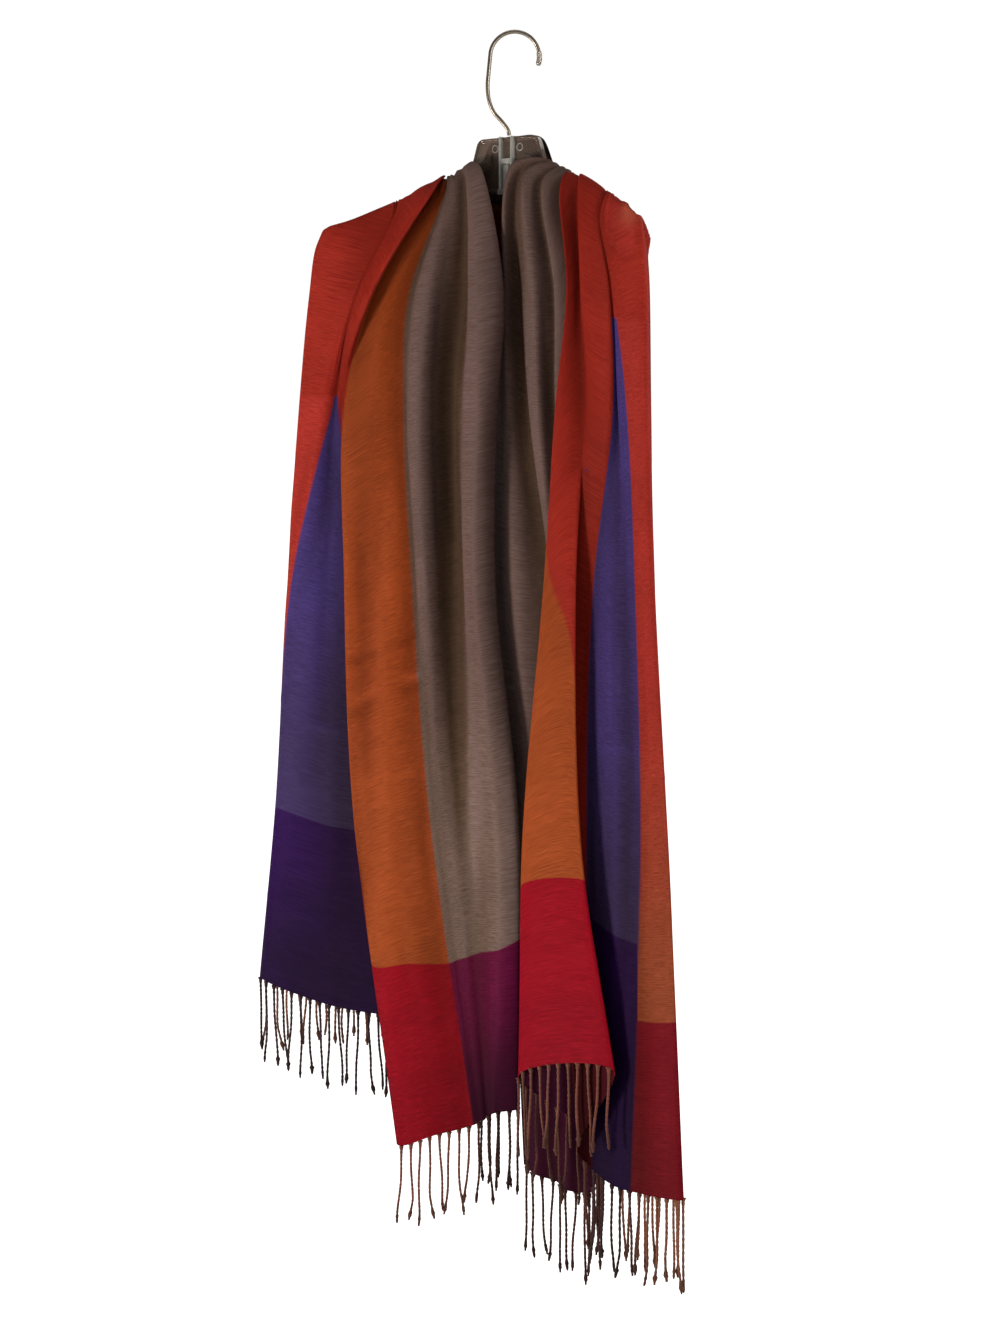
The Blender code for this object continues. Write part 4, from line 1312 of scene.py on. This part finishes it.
class REBOZO_OT_hanger(bpy.types.Operator):
    """Build the clear moulded hanger with its plate, arms and hook socket"""

    bl_idname = "rebozo.hanger"
    bl_label = "Build hanger"

    def execute(self, context):
        look = context.scene.rebozo_hanger
        material = clear_plastic("smoked styrene", look.smoke, 0.5)
        clear = clear_plastic("clear styrene", look.plastic, 0.7)
        right = (
            (PLATE_TOP_HALF, PLATE_LIP),
            (PLATE_LOW_HALF, PLATE_LIP + PLATE_WIDEST),
            (PLATE_FOOT_HALF, PLATE_LIP + PLATE_FOOT),
        )
        corners = right + tuple((-out, drop) for out, drop in right[::-1])
        half = PLATE_DEPTH / 2
        outline = rounded_outline(corners, PLATE_CORNER)
        bm = bmesh.new()
        for face in prism(bm, outline, half, -half):
            toward = 1.0 if face.verts[0].co.y < CENTRE.y * MM else -1.0
            for width in (PLATE_RIM, PLATE_STEP):
                bmesh.ops.inset_region(bm, faces=[face], thickness=width * MM, depth=0.0)
            bmesh.ops.translate(bm, verts=face.verts, vec=(0, toward * PLATE_PANEL * MM, 0))
        bmesh.ops.recalc_face_normals(bm, faces=bm.faces)
        plate = add_mesh_object("hanger_plate", bm, material, 35)
        soften_edges(plate, 0.7, 3, 40)
        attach(plate, "root")
        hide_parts("clear_hanger")

        bm = bmesh.new()
        for side in (-1, 1):
            add_arm(bm, side)
        bmesh.ops.recalc_face_normals(bm, faces=bm.faces)
        arms = add_mesh_object("hanger_arms", bm, material, 50)
        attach(arms, "root")

        # The square socket: two cheeks, a bridge and a foot bar, so that the wire's end shows in it
        bm = bmesh.new()
        deep = half + SOCKET_PROUD
        inner = SOCKET_HALF - SOCKET_WALL
        bar = SOCKET_FOOT - SOCKET_BAR
        block(bm, (-SOCKET_HALF, -inner), (-deep, deep), (SOCKET_TOP + 1, bar))
        block(bm, (inner, SOCKET_HALF), (-deep, deep), (SOCKET_TOP + 1, bar))
        block(bm, (-inner, inner), (half - 1, deep), (28, 33))
        block(bm, (-3.2, 3.2), (half - 2, deep - 0.6), (34, bar))
        block(bm, (-SOCKET_HALF - 1.5, SOCKET_HALF + 1.5), (-deep, deep), (bar, SOCKET_FOOT))
        for out in RING_OUTS:
            disc_ring(bm, out, RING_DROP, half - PLATE_PANEL - 0.2, 4.2, 2.8, 1.0)
        bmesh.ops.recalc_face_normals(bm, faces=bm.faces)
        socket = add_mesh_object("hanger_socket", bm, clear, 35)
        soften_edges(socket, 0.5, 2, 50)
        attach(socket, "root")
        return {"FINISHED"}


def add_lamp(name, at, size, power, colour):
    """A soft rectangular lamp aimed at the middle of the cloth."""
    data = bpy.data.lights.new(name, "AREA")
    data.shape = "RECTANGLE"
    data.size, data.size_y = size
    data.energy = power
    data.color = colour
    obj = link_object(name, data)
    obj.location = at
    obj.rotation_euler = (AIM - Vector(at)).to_track_quat("-Z", "Y").to_euler()


def surroundings(look):
    """A world that lights the cloth weakly and looks bright to the camera and through plastic."""
    world = bpy.data.worlds.new("pale surroundings")
    world.use_nodes = True
    tree = world.node_tree
    tree.nodes.clear()
    path = add_node(tree, "ShaderNodeLightPath").outputs
    seen = add_node(
        tree,
        "ShaderNodeMath",
        {"operation": "MAXIMUM"},
        {0: path["Is Camera Ray"], 1: path["Is Transmission Ray"]},
    )
    glows = [
        add_node(tree, "ShaderNodeBackground", None, {"Color": PAPER, "Strength": strength})
        for strength in (look.sky, look.paper)
    ]
    both = add_node(
        tree,
        "ShaderNodeMixShader",
        None,
        {0: seen.outputs["Value"], 1: glows[0].outputs[0], 2: glows[1].outputs[0]},
    )
    add_node(tree, "ShaderNodeOutputWorld", None, {"Surface": both.outputs["Shader"]})
    return world


def add_camera():
    """The camera at the photograph's place, as wide as its lens saw."""
    data = bpy.data.cameras.new("photograph")
    data.sensor_fit = "AUTO"
    data.sensor_width = SENSOR
    data.lens = PHOTO_FOCAL / PHOTO_TALL * SENSOR
    data.clip_start = 0.05
    camera = link_object("photograph", data)
    right = Vector((math.cos(VIEW_TURN), math.sin(VIEW_TURN), 0))
    ahead = Vector((-math.sin(VIEW_TURN), math.cos(VIEW_TURN), 0))
    at = CENTRE * MM - ahead * VIEW_FAR + right * (VIEW_ASIDE / PHOTO_FOCAL * VIEW_FAR)
    at.z = (DATUM - VIEW_DROP) * MM
    camera.location = at
    pitch = math.atan((PHOTO_TALL / 2 - PHOTO_HORIZON) / PHOTO_FOCAL)
    camera.rotation_euler = (math.pi / 2 - pitch, 0, VIEW_TURN)
    return camera


class REBOZO_OT_stage(bpy.types.Operator):
    """Build the floor, the soft light and the camera at the photograph's place"""

    bl_idname = "rebozo.stage"
    bl_label = "Build stage"

    def execute(self, context):
        look = context.scene.rebozo_stage
        scene = context.scene
        bm = bmesh.new()
        bmesh.ops.create_grid(bm, x_segments=2, y_segments=2, size=FLOOR_HALF)
        bmesh.ops.translate(bm, verts=bm.verts, vec=(0, 0, CAD_BOX[0][2] - FLOOR_GAP))
        # Matt white paint. It glows only as seen, so that it ends in the pale surroundings
        # without a line
        plain, tree, shader = new_material(
            "pale floor", Base_Color=(*look.floor_colour, 1), Roughness=0.9, Emission_Color=PAPER
        )
        seen = add_node(tree, "ShaderNodeLightPath").outputs["Is Camera Ray"]
        glow = add_node(
            tree, "ShaderNodeMath", {"operation": "MULTIPLY"}, {0: seen, 1: look.paper * 0.9}
        )
        tree.links.new(glow.outputs["Value"], shader.inputs["Emission Strength"])
        floor = add_mesh_object("floor", bm, plain)

        scene.world = surroundings(look)
        for name, at, size, share, colour in LAMPS:
            add_lamp(name, at, size, look.key_power * share, colour)
        above = bpy.data.lights.new("above", "SUN")
        above.energy = look.above
        above.angle = math.radians(50)
        link_object("above", above)

        scene.camera = add_camera()
        scene.view_settings.view_transform = "Standard"
        return {"FINISHED"}


class REBOZO_PT_panel(bpy.types.Panel):
    """Sizes and colours, and a button for each group of pieces"""

    bl_idname = "REBOZO_PT_panel"
    bl_label = "Rebozo shawl"
    bl_space_type = "VIEW_3D"
    bl_region_type = "UI"
    bl_category = "Rebozo"

    def draw(self, context):
        scene = context.scene
        for group in (scene.rebozo_cloth, scene.rebozo_hanger, scene.rebozo_stage):
            box = self.layout.box()
            for key in group.__annotations__:
                box.prop(group, key)
        for operator in OPERATORS:
            self.layout.operator(operator.bl_idname)


GROUPS = (
    ("rebozo_cloth", RebozoCloth),
    ("rebozo_hanger", RebozoHanger),
    ("rebozo_stage", RebozoStage),
)
OPERATORS = (
    REBOZO_OT_fringe,
    REBOZO_OT_cloth,
    REBOZO_OT_hook,
    REBOZO_OT_hanger,
    REBOZO_OT_stage,
)


def register():
    for name, group in GROUPS:
        bpy.utils.register_class(group)
        setattr(bpy.types.Scene, name, bpy.props.PointerProperty(type=group))
    for item in OPERATORS + (REBOZO_PT_panel,):
        bpy.utils.register_class(item)


def unregister():
    for item in (REBOZO_PT_panel,) + OPERATORS[::-1]:
        bpy.utils.unregister_class(item)
    for name, group in GROUPS[::-1]:
        delattr(bpy.types.Scene, name)
        bpy.utils.unregister_class(group)


def main():
    register()
    bpy.ops.rebozo.fringe()
    bpy.ops.rebozo.cloth()
    bpy.ops.rebozo.hook()
    bpy.ops.rebozo.hanger()
    bpy.ops.rebozo.stage()


if __name__ == "__main__":
    main()
